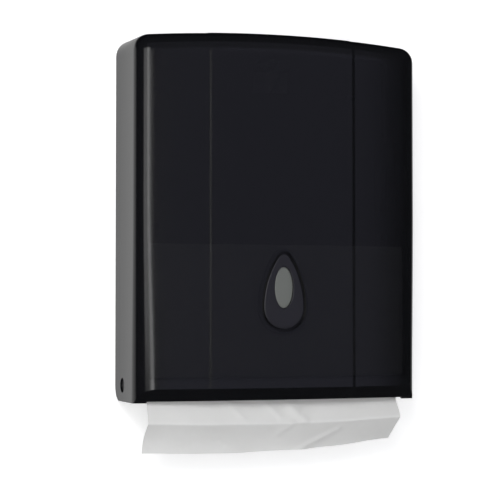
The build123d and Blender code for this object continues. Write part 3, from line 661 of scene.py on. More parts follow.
def cover_form(inset, rear, low):
    """Closed mesh data of the cover's form moved inwards by inset."""
    radius = bow_radius(inset)
    axis_y = -DEPTH + inset + radius
    raised = inset == 0
    right = outline_stations(inset, low, columns_across(HALF - CORNER_ROUND - COLUMN_START))
    left = [(-x, z, -nx, nz) for x, z, nx, nz in right[:-1]]
    rings = []
    for x, z, nx, nz in left + right[::-1]:
        edge = edge_round(z) - inset
        out = Vector((nx, -FALL * nz, nz)).normalized()
        cx = x - edge * out.x
        cy = axis_y - sqrt((radius - edge) ** 2 - cx * cx)
        side_y = cy + edge * out.y
        centre = Vector((cx, cy, z + FALL * side_y - edge * out.z))
        ahead = Vector((cx, cy - axis_y, 0)).normalized()
        lift = panel_rise(cx + edge * ahead.x) if raised else 0.0
        turn = out.angle(ahead)
        column = [Vector((x, rear + (side_y - rear) * k / SIDE_STEPS, 0)) for k in range(SIDE_STEPS)]
        column = [Vector((p.x, p.y, z + FALL * p.y)) + lift * out for p in column]
        for k in range(EDGE_STEPS + 1):
            share = turn * k / EDGE_STEPS
            way = (out * sin(turn - share) + ahead * sin(share)) / sin(turn)
            sink = shoulder(edge * (turn - share), edge * turn) if raised else 0.0
            column.append(centre + (edge + lift - sink) * way)
        rings.append(column)
    count, deep = len(rings), len(rings[0])
    points = [p for column in rings for p in column]
    faces = []
    for i in range(count - 1):
        faces += [(k, k + 1, k + 1 + deep, k + deep) for k in range(i * deep, (i + 1) * deep - 1)]
    # the front, with rows from the sides and columns from the top
    square = len(rows_up(low, arch_of(inset)[3])) - 1
    rise = square + CORNER_STEPS // 2
    across = count - 1 - 2 * rise
    outer = PANEL_HALF + PANEL_RAMP
    start, corner = rings[0][-1].z, rings[rise][-1].z
    grid = {}
    for row in range(rise + 1):
        reach = abs(rings[row][-1].x)
        squeeze = (reach - outer) / (abs(rings[square][-1].x) - outer) if row < square else 1.0
        for col in range(across + 1):
            if col == 0:
                grid[col, row] = (row + 1) * deep - 1
            elif col == across:
                grid[col, row] = (count - row) * deep - 1
            elif row == rise:
                grid[col, row] = (rise + col + 1) * deep - 1
            else:
                top = rings[rise + col][-1]
                z = start + (rings[row][-1].z - start) * (top.z - start) / (corner - start)
                x = top.x
                if abs(x) > outer:
                    x = copysign(outer + (abs(x) - outer) * squeeze, x)
                lift = 0.0
                if raised:
                    beside, below = reach - abs(x), top.z - z
                    lift = panel_rise(x) - shoulder(-beside * below / hypot(beside, below), EDGE_ROUND)
                flat_x = x * radius / (radius + lift)
                way = Vector((flat_x, -sqrt(radius * radius - flat_x * flat_x), 0)).normalized()
                grid[col, row] = len(points)
                points.append(Vector((flat_x, axis_y + radius * way.y, z)) + lift * way)
    for row in range(rise):
        for col in range(across):
            faces.append(tuple(grid[col + a, row + b] for a, b in ((0, 0), (1, 0), (1, 1), (0, 1))))
    # flat caps behind and below
    faces.append(tuple(range(0, count * deep, deep)))
    foot = [*range(deep), *(grid[col, 0] for col in range(1, across))]
    foot += range(count * deep - 1, (count - 1) * deep - 1, -1)
    faces.append(tuple(foot[::-1]))
    return points, faces


def lip_tool(inset):
    """What is cut away under the sloping lip: a leaning block whose rear face follows the bow."""
    slant = hypot(LIP_HEIGHT, LIP_RUN)
    top = LIP_HEIGHT + inset * (slant - LIP_HEIGHT) / LIP_RUN
    high, low, ahead = top + LIP_OVER, LIP_UNDER, LIP_AHEAD
    xs = [LIP_WIDE] + columns_across(LIP_WIDE)
    xs += [-x for x in xs[-2::-1]]
    points = []
    for x in xs:
        rise = panel_rise(x) * slant / LIP_HEIGHT if inset == 0 else 0.0
        rear = [bow_y(x, inset) - rise + (top - z) * LIP_RUN / LIP_HEIGHT for z in (high, low)]
        points += [(x, rear[0], high), (x, rear[1], low), (x, ahead, low), (x, ahead, high)]
    last = len(points) - 4
    faces = [(3, 2, 1, 0), tuple(last + k for k in range(4))]
    for i in range(0, last, 4):
        faces += [(i + k, i + (k + 1) % 4, i + 4 + (k + 1) % 4, i + 4 + k) for k in range(4)]
    return to_mesh("lip tool", points, faces)


def egg_points(growth):
    """The window's egg outline grown by growth, as (x, height)."""
    width, height, tip = POCKET[0] + 2 * growth, POCKET[1] + 2 * growth, POCKET[2] + growth
    big = width / 2
    rise = height - big - tip
    flank = (big * big - tip * tip + rise * rise) / (2 * (big - tip))
    centre = big - flank
    tip_y = rise * (1 + tip / (flank - tip))
    tip_x = -centre * tip / (flank - tip)
    flank_turn = atan(tip_y / (tip_x - centre))
    half = []
    for k in range(BOWL_STEPS + 1):
        a = pi / 2 * k / BOWL_STEPS
        half.append((big * sin(a), -big * cos(a)))
    for k in range(1, FLANK_STEPS + 1):
        a = flank_turn * k / FLANK_STEPS
        half.append((centre + flank * cos(a), flank * sin(a)))
    for a in steps_between(atan((tip_y - rise) / tip_x), pi / 2, TIP_STEP)[1:]:
        half.append((tip * cos(a), rise + tip * sin(a)))
    whole = half + [(-x, z) for x, z in half[-2:0:-1]]
    return [(x, z + POCKET_MIDDLE) for x, z in whole]


def heel_outline():
    y, z = OUTSIDE[0] - HEEL_ROUND, HEEL_ROUND
    turns = steps_between(0, pi / 2, HEEL_STEP)
    arc = [(y + HEEL_ROUND * cos(a), z - HEEL_ROUND * sin(a)) for a in turns]
    return arc + [(y, HEEL_UNDER), (HEEL_BEHIND, HEEL_UNDER), (HEEL_BEHIND, z)]


def cover_mesh():
    outer = to_mesh("cover outside", *cover_form(0.0, *OUTSIDE))
    inner = to_mesh("cover inside", *cover_form(SKIN, *INSIDE))
    foot_end = HALF - FOOT_WIDTH
    steps = [
        (CUT, lip_tool(0.0)),
        (CUT, combine(inner, [(CUT, lip_tool(SKIN))])),
        (CUT, box_mesh("ground", WIDE, DEEP, (UNDER, 0))),
        (CUT, box_mesh("lip end", (-foot_end, foot_end), DEEP, (UNDER, FOOT_RISE))),
        (CUT, prism("heel", heel_outline(), *WIDE, "x")),
    ]
    for side in (-1, 1):
        ends = [side * (HALF - inwards) for inwards in BOSS_ENDS]
        steps.append((JOIN, prism("boss", ring_of(HINGE_BOSS, *HINGE), *ends, "x")))
        ends = [side * x for x in BORE_ENDS]
        steps.append((CUT, prism("bore", ring_of(HINGE_BORE, *HINGE), *ends, "x")))
    for operation, radius, low, high in LOCK_ROUNDS:
        steps.append((operation, prism("lock seat", ring_of(radius, 0, -LOCK_OUT), low, high, "z")))
    steps.append((CUT, prism("pocket", egg_points(0.0), *POCKET_ENDS, "y")))
    mesh = combine(outer, steps)
    shade_smooth(mesh, degrees=24)
    return mesh


# ---------- window insert and lens, in mm
SEAT_GAP = 0.05
FLANGE_GROWTH = 2.5
FLANGE = 2.0
FLANGE_REAR = -DEPTH + SKIN + SEAT_GAP + FLANGE
NECK = -2.2                                 # growth of the egg outline where it fills the pocket
# rounded rims: how far in from the neck or out from the lens, and how deep behind the raised front
RIM = ((0.0, 1.3), (0.08, 0.75), (0.33, 0.34), (0.7, 0.09), (1.1, 0.0))
HOLE = ((0.8, 0.0), (0.4, 0.06), (0.2, 0.24), (0.1, 0.6))
RIM_TO_HOLE_STEPS = 6
LENS = (9.0, 19.0, POCKET_MIDDLE + 18.7)    # half width, half height, middle above the feet
LENS_SEAT = 2.6
LENS_GAP = (0.1, 0.02)                      # to its seat and to its shelf
LENS_SHELF = FLANGE_REAR - 1.5
LENS_SINK = 1.0
LENS_FACE = -DEPTH - PANEL_RISE + LENS_SINK
DOME = (0.75, 0.45, 0.8)                    # its rise, and how full it is across and along
DOME_STEPS = 10
DOME_MIDDLE = -8.4                          # growth of the lens outline at the last step
# the ellipse that gives each point of the egg outline its turn on the lens outline
TURNING = (22.0, 34.0, POCKET_MIDDLE + 8.0)


def lens_points(growth):
    """Lens outline grown by growth, one point for each point of the egg outline, at the same turn."""
    points = []
    for x, z in egg_points(0.0):
        turn = Vector((x / TURNING[0], (z - TURNING[2]) / TURNING[1])).normalized()
        points.append(((LENS[0] + growth) * turn.x, LENS[2] + (LENS[1] + growth) * turn.y))
    return points


def level(outline, y):
    return [(x, y, z) for x, z in outline]


def seated(outline):
    """Loop on the cover's inner face."""
    return [(x, bow_y(x, SKIN) + SEAT_GAP, z) for x, z in outline]


def proud(outline, sink=0.0):
    """Loop on the raised front, sunk by sink."""
    return [(x, bow_y(x, 0.0) - PANEL_RISE + sink, z) for x, z in outline]


def between(outline_a, outline_b, share):
    pairs = zip(outline_a, outline_b)
    return [(a[0] + (b[0] - a[0]) * share, a[1] + (b[1] - a[1]) * share) for a, b in pairs]


def bezel_mesh():
    rim, hole = egg_points(NECK - RIM[-1][0]), lens_points(HOLE[0][0])
    loops = [seated(egg_points(NECK))]
    loops += [proud(egg_points(NECK - inwards), sink) for inwards, sink in RIM]
    for k in range(1, RIM_TO_HOLE_STEPS):
        loops.append(proud(between(rim, hole, k / RIM_TO_HOLE_STEPS)))
    loops += [proud(lens_points(growth), sink) for growth, sink in HOLE]
    loops += [
        level(lens_points(HOLE[-1][0]), LENS_SHELF),
        level(lens_points(LENS_SEAT), LENS_SHELF),
        level(lens_points(LENS_SEAT), FLANGE_REAR),
        level(egg_points(FLANGE_GROWTH), FLANGE_REAR),
        seated(egg_points(FLANGE_GROWTH)),
    ]
    mesh = loop_mesh("window_bezel_shown", loops)
    shade_smooth(mesh, degrees=40)
    return mesh


def lens_mesh():
    dome, across, along = DOME
    seat, shelf = LENS_SEAT - LENS_GAP[0], LENS_SHELF + LENS_GAP[1]
    edge = [(seat, FLANGE_REAR), (seat, shelf), (0.0, shelf), (0.0, LENS_FACE + dome)]
    for k in range(1, DOME_STEPS + 1):
        a = pi / 2 * k / DOME_STEPS
        growth = -LENS[0] * (1 - cos(a) ** across) if k < DOME_STEPS else DOME_MIDDLE
        edge.append((growth, LENS_FACE + dome * (1 - sin(a) ** along)))
    loops = [level(lens_points(growth), y) for growth, y in edge]
    mesh = loop_mesh("sight_lens_shown", loops, closed=False)
    shade_smooth(mesh, degrees=40)
    return mesh


# ---------- towels, in mm, heights above the feet
SHEET_HALF = 125.0
PLY = 0.34                  # a towel's thickness
SHELF_TOP = 22.4
STACK_FOOT = 23.7
STACK_TOP = 145.0
STACK_REAR = -3.2
STACK_FRONT = -69.87
TOWEL_PITCH = 1.12
DROP_Y = -58.27
SHEET_COLUMNS = 180
# the hanging towel's two layers on the shelf, the roundings on its way down, the steps of its runs
LAYERS = (SHELF_TOP + 0.90, SHELF_TOP + 0.24)
LAYER_ENDS = 0.9
BENDS = (0.33, 0.33, 3.0, 7.0, 1.6)
RUNS = (12, 1, 12, 14, 12, 30)
BEND_STEPS = 6
SLOT_Y = (DROP_Y - 0.6, 2.6)        # in the slot, and how far back its right end goes there
SLOT_HEIGHT = (3.0, 16.0, 19.0)     # where the slot pinches it most, how far from there, up to where
SLOT_PINCH = 0.016
FLAP_PULL = (28.0, 0.7, 1.9)        # how far below the crease, how far left, how much more at the right
FLAP_CURL = (1.9, 0.85)
FREE_FROM = (14.0, 12.0)            # where waves start, and over what height they grow
CREASE_FLATTENS = (5.0, 0.65)       # how far around the crease waves are weaker, and how much
CREASE_OPEN = (0.0, 0.25)           # shares across, where the crease doesn't flatten them
# lines across the hanging towel: (x share from -1 to 1, y, height), and how straight they run
LINE_STRAIGHT = 0.35
CREASE_LINE = (
    (-1, -64.3, -19.0), (-0.5, -64.6, -20.8), (0, -64.6, -21.4), (0.45, -64.6, -20.3), (1, -64.5, -17.2),
)
FREE_EDGE = (
    (-1, -44.9, -46.9), (-0.6, -44.6, -48.6), (-0.28, -44.4, -49.2), (0.05, -44.6, -47.8),
    (0.22, -44.2, -47.6), (0.5, -42.0, -45.3), (1, -40.0, -39.0),
)
# soft ridges pressed into it: start and end as (x, height), how high, how wide
RIDGES = (
    ((-50, 2), (-32, -17), 0.95, 3.0),
    ((-11, -1), (3, -15), 1.05, 3.2),
    ((12, -4), (27, -18), 1.25, 3.6),
    ((35, 2), (22, -14), -0.9, 5.0),
    ((64, -28), (26, -49), 1.3, 3.0),
    ((16, -21), (4, -31), 0.9, 2.6),
    ((-52, -36), (-47, -41), -0.7, 2.2),
    ((90, -26), (108, -38), 0.6, 3.5),
    ((-96, -26), (-70, -46), 0.5, 6.0),
)
# waves in it: how high, length across, slant, length down, and where in the noise
WAVES = ((1.5, 46.0, inf, 70.0, 3.1), (0.55, 17.0, 40.0, 26.0, 7.7), (0.12, 5.0, 9.0, 7.0, 1.3))


def smooth_line(stations, share):
    """Value of a line through the stations at a share from -1 to 1, easing between them."""
    for a, b in zip(stations, stations[1:]):
        if share <= b[0] or b is stations[-1]:
            t = ease((share - a[0]) / (b[0] - a[0]), LINE_STRAIGHT)
            return [a[k] + (b[k] - a[k]) * t for k in range(1, len(a))]


def bent_line(corners, radii, runs, bend_steps):
    """Points along a polyline whose inner corners are eased over the radii.

    Each run between two bends has its own number of steps.
    """
    bends = [[corners[0]]]
    for before, corner, after, radius in zip(corners, corners[1:], corners[2:], radii):
        back, ahead = (before - corner), (after - corner)
        reach = min(radius, 0.5 * back.length, 0.5 * ahead.length)
        start, end = corner + back.normalized() * reach, corner + ahead.normalized() * reach
        steps = []
        for k in range(bend_steps + 1):
            t = k / bend_steps
            steps.append((1 - t) ** 2 * start + 2 * t * (1 - t) * corner + t * t * end)
        bends.append(steps)
    bends.append([corners[-1]])
    points = list(bends[0])
    for count, bend in zip(runs, bends[1:]):
        start, first = points[-1], bend[0]
        points += [start + (first - start) * k / count for k in range(1, count + 1)] + bend[1:]
    return points


def wave_at(x, h):
    """How far the waves and ridges of the hanging towel stand out at x and height h."""
    spots = [(rise, (x / across + h / slant, h / down, seed)) for rise, across, slant, down, seed in WAVES]
    return sum(rise * noise.noise(Vector(spot)) for rise, spot in spots) + ridge_height(x, h)


def ridge_height(x, h):
    height = 0.0
    for (x0, h0), (x1, h1), rise, width in RIDGES:
        run = Vector((x1 - x0, h1 - h0))
        t = Vector((x - x0, h - h0)).dot(run) / run.length_squared
        near = Vector((x0, h0)) + clamped(t) * run
        off = (Vector((x, h)) - near).length
        height += rise * exp(-((off / width) ** 2))
    return height


def walled(name, sheet, thickness, even):
    """A closed mesh from a sheet, thickness mm thick about its middle."""
    mesh = bpy.data.meshes.new(name)
    sheet.to_mesh(mesh)
    sheet.free()
    piece = placed(name, mesh)
    wall = piece.modifiers.new("thickness", "SOLIDIFY")
    wall.thickness = thickness * MM
    wall.offset = 0.0
    wall.use_even_offset = even
    return evaluated_mesh(piece)


def hanging_column(sheet, share):
    """One line of the hanging towel's points from its fold on the shelf to its free edge."""
    rightness = (share + 1) / 2
    crease_y, crease_h = smooth_line(CREASE_LINE, share)
    edge_y, edge_h = smooth_line(FREE_EDGE, share)
    corners = [
        Vector((STACK_FRONT + LAYER_ENDS, LAYERS[0])),
        Vector((STACK_REAR - LAYER_ENDS, LAYERS[0])),
        Vector((STACK_REAR - LAYER_ENDS, LAYERS[1])),
        Vector((DROP_Y, LAYERS[1])),
        Vector((SLOT_Y[0] + SLOT_Y[1] * max(0.0, share) ** 3, 1.0)),
        Vector((crease_y, crease_h)),
        Vector((edge_y, edge_h)),
    ]
    column = []
    for y, h in bent_line(corners, BENDS, RUNS, BEND_STEPS):
        in_slot = max(0.0, 1 - abs(h - SLOT_HEIGHT[0]) / SLOT_HEIGHT[1]) if h < SLOT_HEIGHT[2] else 0.0
        x = SHEET_HALF * share * (1 - SLOT_PINCH * rightness * ease(in_slot))
        x -= clamped((crease_h - h) / FLAP_PULL[0]) * (FLAP_PULL[1] + FLAP_PULL[2] * rightness)
        down = clamped((crease_h - h) / (crease_h - edge_h))
        curl = FLAP_CURL[0] - FLAP_CURL[1] * rightness
        y += (edge_y - crease_y) * (1 - (1 - down) ** curl - down)
        wave = clamped((FREE_FROM[0] - h) / FREE_FROM[1]) * wave_at(x, h)
        if not CREASE_OPEN[0] <= share <= CREASE_OPEN[1]:
            wave *= 1 - CREASE_FLATTENS[1] * exp(-(((h - crease_h) / CREASE_FLATTENS[0]) ** 2))
        column.append(sheet.verts.new((x, y - wave, h)))
    return column


def hanging_towel_mesh():
    sheet = bmesh.new()
    grid = [hanging_column(sheet, 2 * c / SHEET_COLUMNS - 1) for c in range(SHEET_COLUMNS + 1)]
    for a, b in zip(grid, grid[1:]):
        for k in range(len(a) - 1):
            sheet.faces.new((a[k], a[k + 1], b[k + 1], b[k]))
    for vert in sheet.verts:
        vert.co = (vert.co.x * MM, vert.co.y * MM, vert.co.z * MM + FOOT)
    mesh = walled("hanging_towel_shown", sheet, PLY, even=True)
    with reworked(mesh) as work:
        bmesh.ops.recalc_face_normals(work, faces=work.faces)
    shade_smooth(mesh, degrees=50)
    return mesh


# ---------- repeats by geometry nodes
REPEAT_INPUTS = (
    ("Shape", "NodeSocketObject"),
    ("Seed", "NodeSocketInt"),
    ("Shift", "NodeSocketVector"),
    ("Twist", "NodeSocketVector"),
    ("Finish", "NodeSocketMaterial"),
)


def stray_node(tree, inside, label):
    """A random vector for each copy, up to the input of that label either way."""
    back = tree.nodes.new("ShaderNodeVectorMath")
    back.operation = "SCALE"
    put(tree, back.inputs[0], inside[label])
    put(tree, back.inputs["Scale"], -1.0)
    node = tree.nodes.new("FunctionNodeRandomValue")
    node.data_type = "FLOAT_VECTOR"
    put(tree, node.inputs[0], back.outputs[0])
    put(tree, node.inputs[1], inside[label])
    put(tree, node.inputs["Seed"], inside["Seed"])
    return node.outputs[0]


def repeat_tree(name):
    """Geometry node tree that puts the Shape object on each of the piece's points.

    Inputs: Shape, Seed, Shift (how far each copy strays), Twist (how far each turns about each
    axis) and Finish.
    """
    tree = bpy.data.node_groups.new(name, "GeometryNodeTree")
    for label, kind in (("Geometry", "NodeSocketGeometry"), *REPEAT_INPUTS):
        tree.interface.new_socket(name=label, in_out="INPUT", socket_type=kind)
    tree.interface.new_socket(name="Geometry", in_out="OUTPUT", socket_type="NodeSocketGeometry")
    inside = tree.nodes.new("NodeGroupInput").outputs
    shape = add(tree, "GeometryNodeObjectInfo", Object=inside["Shape"]).outputs["Geometry"]
    shift, twist = (stray_node(tree, inside, label) for label in ("Shift", "Twist"))
    moved = add(tree, "GeometryNodeSetPosition", Geometry=inside["Geometry"], Offset=shift)
    sockets = {"Points": moved.outputs["Geometry"], "Instance": shape, "Rotation": twist}
    copies = add(tree, "GeometryNodeInstanceOnPoints", **sockets).outputs[0]
    real = add_in_order(tree, "GeometryNodeRealizeInstances", copies).outputs[0]
    dressed = add(tree, "GeometryNodeSetMaterial", Geometry=real, Material=inside["Finish"])
    add_in_order(tree, "NodeGroupOutput", dressed.outputs[0])
    return tree


REPEAT = repeat_tree("repeated pieces")


def repeated(name, shape, places, slot, seed, shift=(0, 0, 0), twist=(0, 0, 0)):
    """Mesh of a shape copied to each place, strays and turns drawn from the seed."""
    points = bpy.data.meshes.new(name)
    points.from_pydata([tuple(p) for p in places], [], [])
    piece = placed(name, points)
    pattern = placed(name + " shape", shape)
    modifier = piece.modifiers.new("repeat", "NODES")
    modifier.node_group = REPEAT
    values = {"Shape": pattern, "Seed": seed, "Shift": shift, "Twist": twist, "Finish": FINISHES[slot]}
    for socket in REPEAT.interface.items_tree:
        if socket.item_type == "SOCKET" and socket.in_out == "INPUT" and socket.name in values:
            modifier[socket.identifier] = values[socket.name]
    result = evaluated_mesh(piece, pattern)
    result.name = name
    return result


FOLD_PITCH = 0.36           # from one layer of a folded towel to the next
FOLD_SHARE = 0.86           # how thick a layer is, as a share of the ply
FOLD_TURNS = (0.8, 1.57, 2.34)
STACK_ENDS = 0.45
STACK_STRAY = (0.45 * MM, 0.35 * MM, 0)
STACK_TWIST = (0.0004, 0.0, 0.0035)


def folded_towel_mesh():
    """One towel folded in three, lying flat, its middle at the origin; in metres."""
    half_depth = (STACK_REAR - STACK_FRONT) / 2 - STACK_ENDS
    bend = FOLD_PITCH / 2
    run = half_depth - bend
    middle = [(-half_depth, -FOLD_PITCH)]
    for side in (1, -1):
        middle.append((side * run, -FOLD_PITCH if side > 0 else 0.0))
        middle += [(side * (run + bend * sin(a)), -side * bend - bend * cos(a)) for a in FOLD_TURNS]
        middle.append((side * run, 0.0 if side > 0 else FOLD_PITCH))
    middle.append((half_depth, FOLD_PITCH))
    sheet = bmesh.new()
    rows = []
    for x in (-SHEET_HALF, SHEET_HALF):
        rows.append([sheet.verts.new((x * MM, y * MM, z * MM)) for y, z in middle])
    for k in range(len(middle) - 1):
        sheet.faces.new((rows[0][k], rows[1][k], rows[1][k + 1], rows[0][k + 1]))
    return walled("folded towel", sheet, FOLD_SHARE * PLY, even=False)


def towel_stack_mesh():
    count = int((STACK_TOP - STACK_FOOT) / TOWEL_PITCH)
    pitch = (STACK_TOP - STACK_FOOT) / count
    middle_y = (STACK_REAR + STACK_FRONT) / 2
    places = [(0, middle_y * MM, (STACK_FOOT + pitch * (k + 0.5)) * MM + FOOT) for k in range(count)]
    towel = folded_towel_mesh()
    strays = {"seed": 5, "shift": STACK_STRAY, "twist": STACK_TWIST}
    return repeated("towel_stack_shown", towel, places, "towel_paper", **strays)


# ---------- screws
# node: radius and height of the head, radius of the shank, and which way the head looks
SCREWS = {
    "guide_screws": (2.5, 1.8, 1.45, (0, -1, 0)),
    "shelf_screws": (2.5, 1.8, 1.45, (0, -1, 0)),
    "strike_screws": (2.5, 1.8, 1.45, (0, -1, 0)),
    "retainer_screws": (1.8, 1.2, 0.9, (0, 1, 0)),
    "cam_screw": (3.25, 2.0, 1.5, (0, 0, -1)),
}
SCREW_SIDES = 28
HEAD_RIM = 0.24             # share of the head's height below its round
HEAD_TURNS = (0.25, 0.55, 0.85, 1.15, 1.4)
TIP = (0.5, 0.7)            # radius and length of the shank's tip, by the shank's radius
RECESS = (0.60, 0.13, 0.35) # its arm and half its width by the head's radius, its floor by the height


def parts_of(node):
    """Lowest and highest corner, in metres, of each loose part of a CAD node."""
    work = bmesh.new()
    work.from_mesh(frame["nodes"][node].data)
    bmesh.ops.remove_doubles(work, verts=work.verts, dist=TINY)
    left, boxes = set(work.verts), []
    for first in list(work.verts):
        if first not in left:
            continue
        left.discard(first)
        reached = [first]
        for vert in reached:
            near = [edge.other_vert(vert) for edge in vert.link_edges]
            fresh = [other for other in dict.fromkeys(near) if other in left]
            left.difference_update(fresh)
            reached += fresh
        places = [vert.co for vert in reached]
        boxes.append([Vector(pick(p[k] for p in places) for k in range(3)) for pick in (min, max)])
    work.free()
    return boxes


def screw_mesh(head, height, shank, length):
    """Pan-head screw with a cross recess: its seat at the origin, its head towards -Y; in metres."""
    rim = HEAD_RIM * height
    profile = [(TIP[0] * shank, length), (shank, length - TIP[1] * shank), (shank, 0.0)]
    profile += [(head, 0.0), (head, -rim)]
    profile += [(head * cos(a), -rim - (height - rim) * sin(a)) for a in HEAD_TURNS]
    turns = [2 * pi * k / SCREW_SIDES for k in range(SCREW_SIDES)]
    loops = [[(r * cos(t), along, r * sin(t)) for t in turns] for r, along in profile]
    arm, half, floor = RECESS[0] * head, RECESS[1] * head, -RECESS[2] * height
    sizes = ((arm, half), (half, arm))
    slots = [(CUT, box_mesh("recess", (-x, x), (-2 * height, floor), (-z, z))) for x, z in sizes]
    mesh = combine(loop_mesh("screw", loops, closed=False), slots)
    mesh.transform(Matrix.Translation((0, 0, -FOOT)))
    shade_smooth(mesh, degrees=35)
    return mesh


def screws_mesh(node, head, height, shank, way):
    """The screws of a node, one at each of its loose parts, each turned its own amount."""
    way = Vector(way)
    boxes = parts_of(node)
    low, high = boxes[0]
    length = abs((high - low).dot(way)) / MM - height
    shape = screw_mesh(head, height, shank, length)
    shape.transform(Vector((0, -1, 0)).rotation_difference(way).to_matrix().to_4x4())
    tops = [(low + high) / 2 + way * abs((high - low).dot(way)) / 2 for low, high in boxes]
    places = [top - way * height * MM for top in tops]
    turn = pi * Vector([abs(part) for part in way])
    return repeated(node + "_shown", shape, places, SLOT_OF[node], len(node), twist=tuple(turn))


# ---------- the pieces
DRESSED = set()


def dress(mesh, *nodes):
    """A shown piece that stands in for one or more CAD nodes of the same body and material."""
    piece = link_piece(nodes[0] + "_shown", mesh, BODY_OF[nodes[0]], SLOT_OF[nodes[0]])
    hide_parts(*nodes)
    DRESSED.update(nodes)
    return piece


dress(cover_mesh(), "front_cover")
dress(bezel_mesh(), "window_bezel")
dress(lens_mesh(), "sight_lens")
dress(towel_stack_mesh(), "towel_stack")
hanging = dress(hanging_towel_mesh(), "hanging_towel")
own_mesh(hanging)
for cad_node, sizes in SCREWS.items():
    dress(screws_mesh(cad_node, *sizes), cad_node)
for cad_node in sorted(set(frame["nodes"]) - DRESSED):
    dress(smooth_copy(cad_node), cad_node)


# ---------- stage
STAGE_HALF = 2.2
FLOOR_Z = FOOT - 0.40
CEILING_Z = 1.6
STAGE_FRONT = -3.2
WALL_Y = 0.0004
WALL_INSET = (4 * MM, 14 * MM, 12 * MM)     # the wall's opening: inside the plate's sides, foot, top
PAINT = (0.80, 0.80, 0.80, 1)
WHITE = (1, 1, 1, 1)
WALL_GLOW, FLOOR_GLOW = 0.53, 0.40
# how bright the stage is in the object's reflections
WALL_IN_GLOSS, FLOOR_IN_GLOSS = 0.78, 0.02
# where the wall darkens in them, in metres beside and above the object, and close beside it
FADE_BESIDE, FADE_ABOVE, CONTACT = (0.030, 0.300), (-0.002, 0.040), (0.0, 0.026)
CONTACT_SHADE = 0.30
CLEAR_FACES = 1.5           # behind more see-through faces than this the backdrop is dark


def flat_mesh(name, rectangles):
    """A mesh of rectangles, each given by its four corners in order."""
    mesh = bpy.data.meshes.new(name)
    points = [corner for corners in rectangles for corner in corners]
    mesh.from_pydata(points, [], [tuple(range(4 * i, 4 * i + 4)) for i in range(len(rectangles))])
    return mesh


def emission(tree, strength):
    return add(tree, "ShaderNodeEmission", Color=WHITE, Strength=strength).outputs[0]


def mixed(tree, factor, plain, other):
    return add_in_order(tree, "ShaderNodeMixShader", factor, plain, other).outputs[0]


def stage_material(name, glow, mirrored):
    """Pale paint that shows white behind the object and keeps its shadow; clear from behind.

    mirrored builds the nodes that say how bright the paint is in the object's reflections, so that
    only the wall beside the object is seen in its glossy sides.
    """
    material, tree = node_tree_of(name)
    rays = tree.nodes.new("ShaderNodeLightPath").outputs
    behind = tree.nodes.new("ShaderNodeNewGeometry").outputs["Backfacing"]
    paint = add(tree, "ShaderNodeBsdfDiffuse", Color=PAINT).outputs[0]
    seen = math_node(tree, "ADD", rays["Is Camera Ray"], rays["Is Transmission Ray"], clamp=True)
    seen = product(tree, seen, math_node(tree, "LESS_THAN", rays["Transparent Depth"], CLEAR_FACES))
    lit = add_in_order(tree, "ShaderNodeAddShader", paint, emission(tree, product(tree, seen, glow)))
    shown = mixed(tree, rays["Is Glossy Ray"], lit.outputs[0], emission(tree, mirrored(tree)))
    clear = tree.nodes.new("ShaderNodeBsdfTransparent").outputs[0]
    add(tree, "ShaderNodeOutputMaterial", Surface=mixed(tree, behind, shown, clear))
    return material


def beside_object(tree):
    """How bright the wall is in reflections: bright close around the object, dark further off."""
    parts = add(tree, "ShaderNodeSeparateXYZ", Vector=object_place(tree)).outputs
    across = math_node(tree, "SUBTRACT", math_node(tree, "ABSOLUTE", parts["X"]), cover_high.x)
    above = math_node(tree, "SUBTRACT", parts["Z"], cover_high.z)
    contact = product(tree, falling(tree, across, *CONTACT), CONTACT_SHADE)
    near, low = falling(tree, across, *FADE_BESIDE), falling(tree, above, *FADE_ABOVE)
    return product(tree, near, low, math_node(tree, "SUBTRACT", 1.0, contact), WALL_IN_GLOSS)


def all_over(tree):
    return FLOOR_IN_GLOSS


def upright(x0, x1, z0, z1):
    return [(x0, WALL_Y, z0), (x1, WALL_Y, z0), (x1, WALL_Y, z1), (x0, WALL_Y, z1)]


def make_stage():
    # the wall stops behind the back plate, so that the plate is lit when it is seen from behind
    x0, x1 = plate_low.x + WALL_INSET[0], plate_high.x - WALL_INSET[0]
    z0, z1 = FOOT + WALL_INSET[1], plate_high.z - WALL_INSET[2]
    s = STAGE_HALF
    wall = [
        upright(-s, x0, FLOOR_Z, CEILING_Z),
        upright(x1, s, FLOOR_Z, CEILING_Z),
        upright(x0, x1, FLOOR_Z, z0),
        upright(x0, x1, z1, CEILING_Z),
    ]
    floor = [(-s, STAGE_FRONT), (s, STAGE_FRONT), (s, WALL_Y), (-s, WALL_Y)]
    floor = [[(x, y, FLOOR_Z) for x, y in floor]]
    for name, rectangles, glow, mirrored in (
        ("wall", wall, WALL_GLOW, beside_object),
        ("floor", floor, FLOOR_GLOW, all_over),
    ):
        mesh = flat_mesh(name, rectangles)
        mesh.materials.append(stage_material(name + " paint", glow, mirrored))
        piece = placed(name, mesh)


# ---------- light
AIM = Vector((0, -0.04, -0.06))
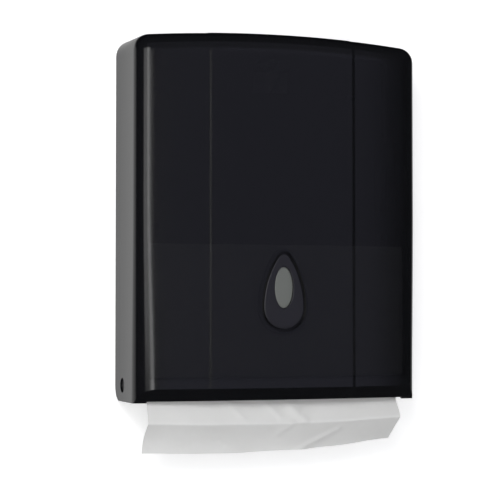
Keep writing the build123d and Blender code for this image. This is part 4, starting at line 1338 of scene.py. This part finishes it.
# name, degrees left of the front, degrees up, metres away, width, height, radiance, and the rest
LAMPS = (
    ("key softbox", 25, 4.5, 1.5, 1.09, 0.64, 1.4, {}),
    ("key core", 17, 1, 1.45, 0.25, 1.05, 1.9, {"roll": 15}),
    ("low key", 16, -15, 1.5, 0.45, 0.40, 0.7, {}),
    ("right fill", -18.3, 2, 2.0, 1.31, 1.1, 0.25, {"colour": (0.74, 0.74, 1.0)}),
    ("top fade", -8, 30, 2.0, 2.2, 1.1, 0.10, {"colour": (0.8, 0.8, 1.0)}),
    ("shadow lamp", 28, 20, 1.6, 0.50, 0.50, 10.0, {"in_gloss": False}),
)
AMBIENT, ROOM_IN_GLOSS = 0.35, 0.03
ROOM_TINT = (0.92, 0.95, 1.0, 1)


def make_lamp(name, azimuth, rise, away, width, height, radiance, in_gloss=True, colour=(1, 1, 1), roll=0):
    """An area lamp seen from the object at azimuth degrees left of the front, rise degrees up."""
    a, e = radians(azimuth), radians(rise)
    way = Vector((-sin(a) * cos(e), -cos(a) * cos(e), sin(e)))
    data = bpy.data.lights.new(name, "AREA")
    data.shape = "RECTANGLE"
    data.size = width
    data.size_y = height
    data.energy = radiance * pi * width * height
    data.color = colour
    lamp = placed(name, data)
    lamp.location = AIM + away * way
    turned = (-way).to_track_quat("-Z", "Y") @ Quaternion((0, 0, 1), radians(roll))
    lamp.rotation_euler = turned.to_euler()
    lamp.visible_camera = False
    lamp.visible_glossy = in_gloss


def background(tree, colour, strength):
    return add(tree, "ShaderNodeBackground", Color=colour, Strength=strength).outputs[0]


def make_light():
    for *sizes, rest in LAMPS:
        make_lamp(*sizes, **rest)
    world = bpy.data.worlds.new("studio")
    world.use_nodes = True
    tree = world.node_tree
    tree.nodes.clear()
    rays = tree.nodes.new("ShaderNodeLightPath").outputs
    ambient, room = background(tree, WHITE, AMBIENT), background(tree, ROOM_TINT, ROOM_IN_GLOSS)
    light = mixed(tree, rays["Is Glossy Ray"], ambient, room)
    seen = math_node(tree, "LESS_THAN", rays["Transparent Depth"], CLEAR_FACES)
    shown = mixed(tree, rays["Is Camera Ray"], light, background(tree, WHITE, seen))
    add(tree, "ShaderNodeOutputWorld", Surface=shown)
    bpy.context.scene.world = world


make_camera()
make_stage()
make_light()
bpy.context.scene.view_settings.view_transform = "Standard"
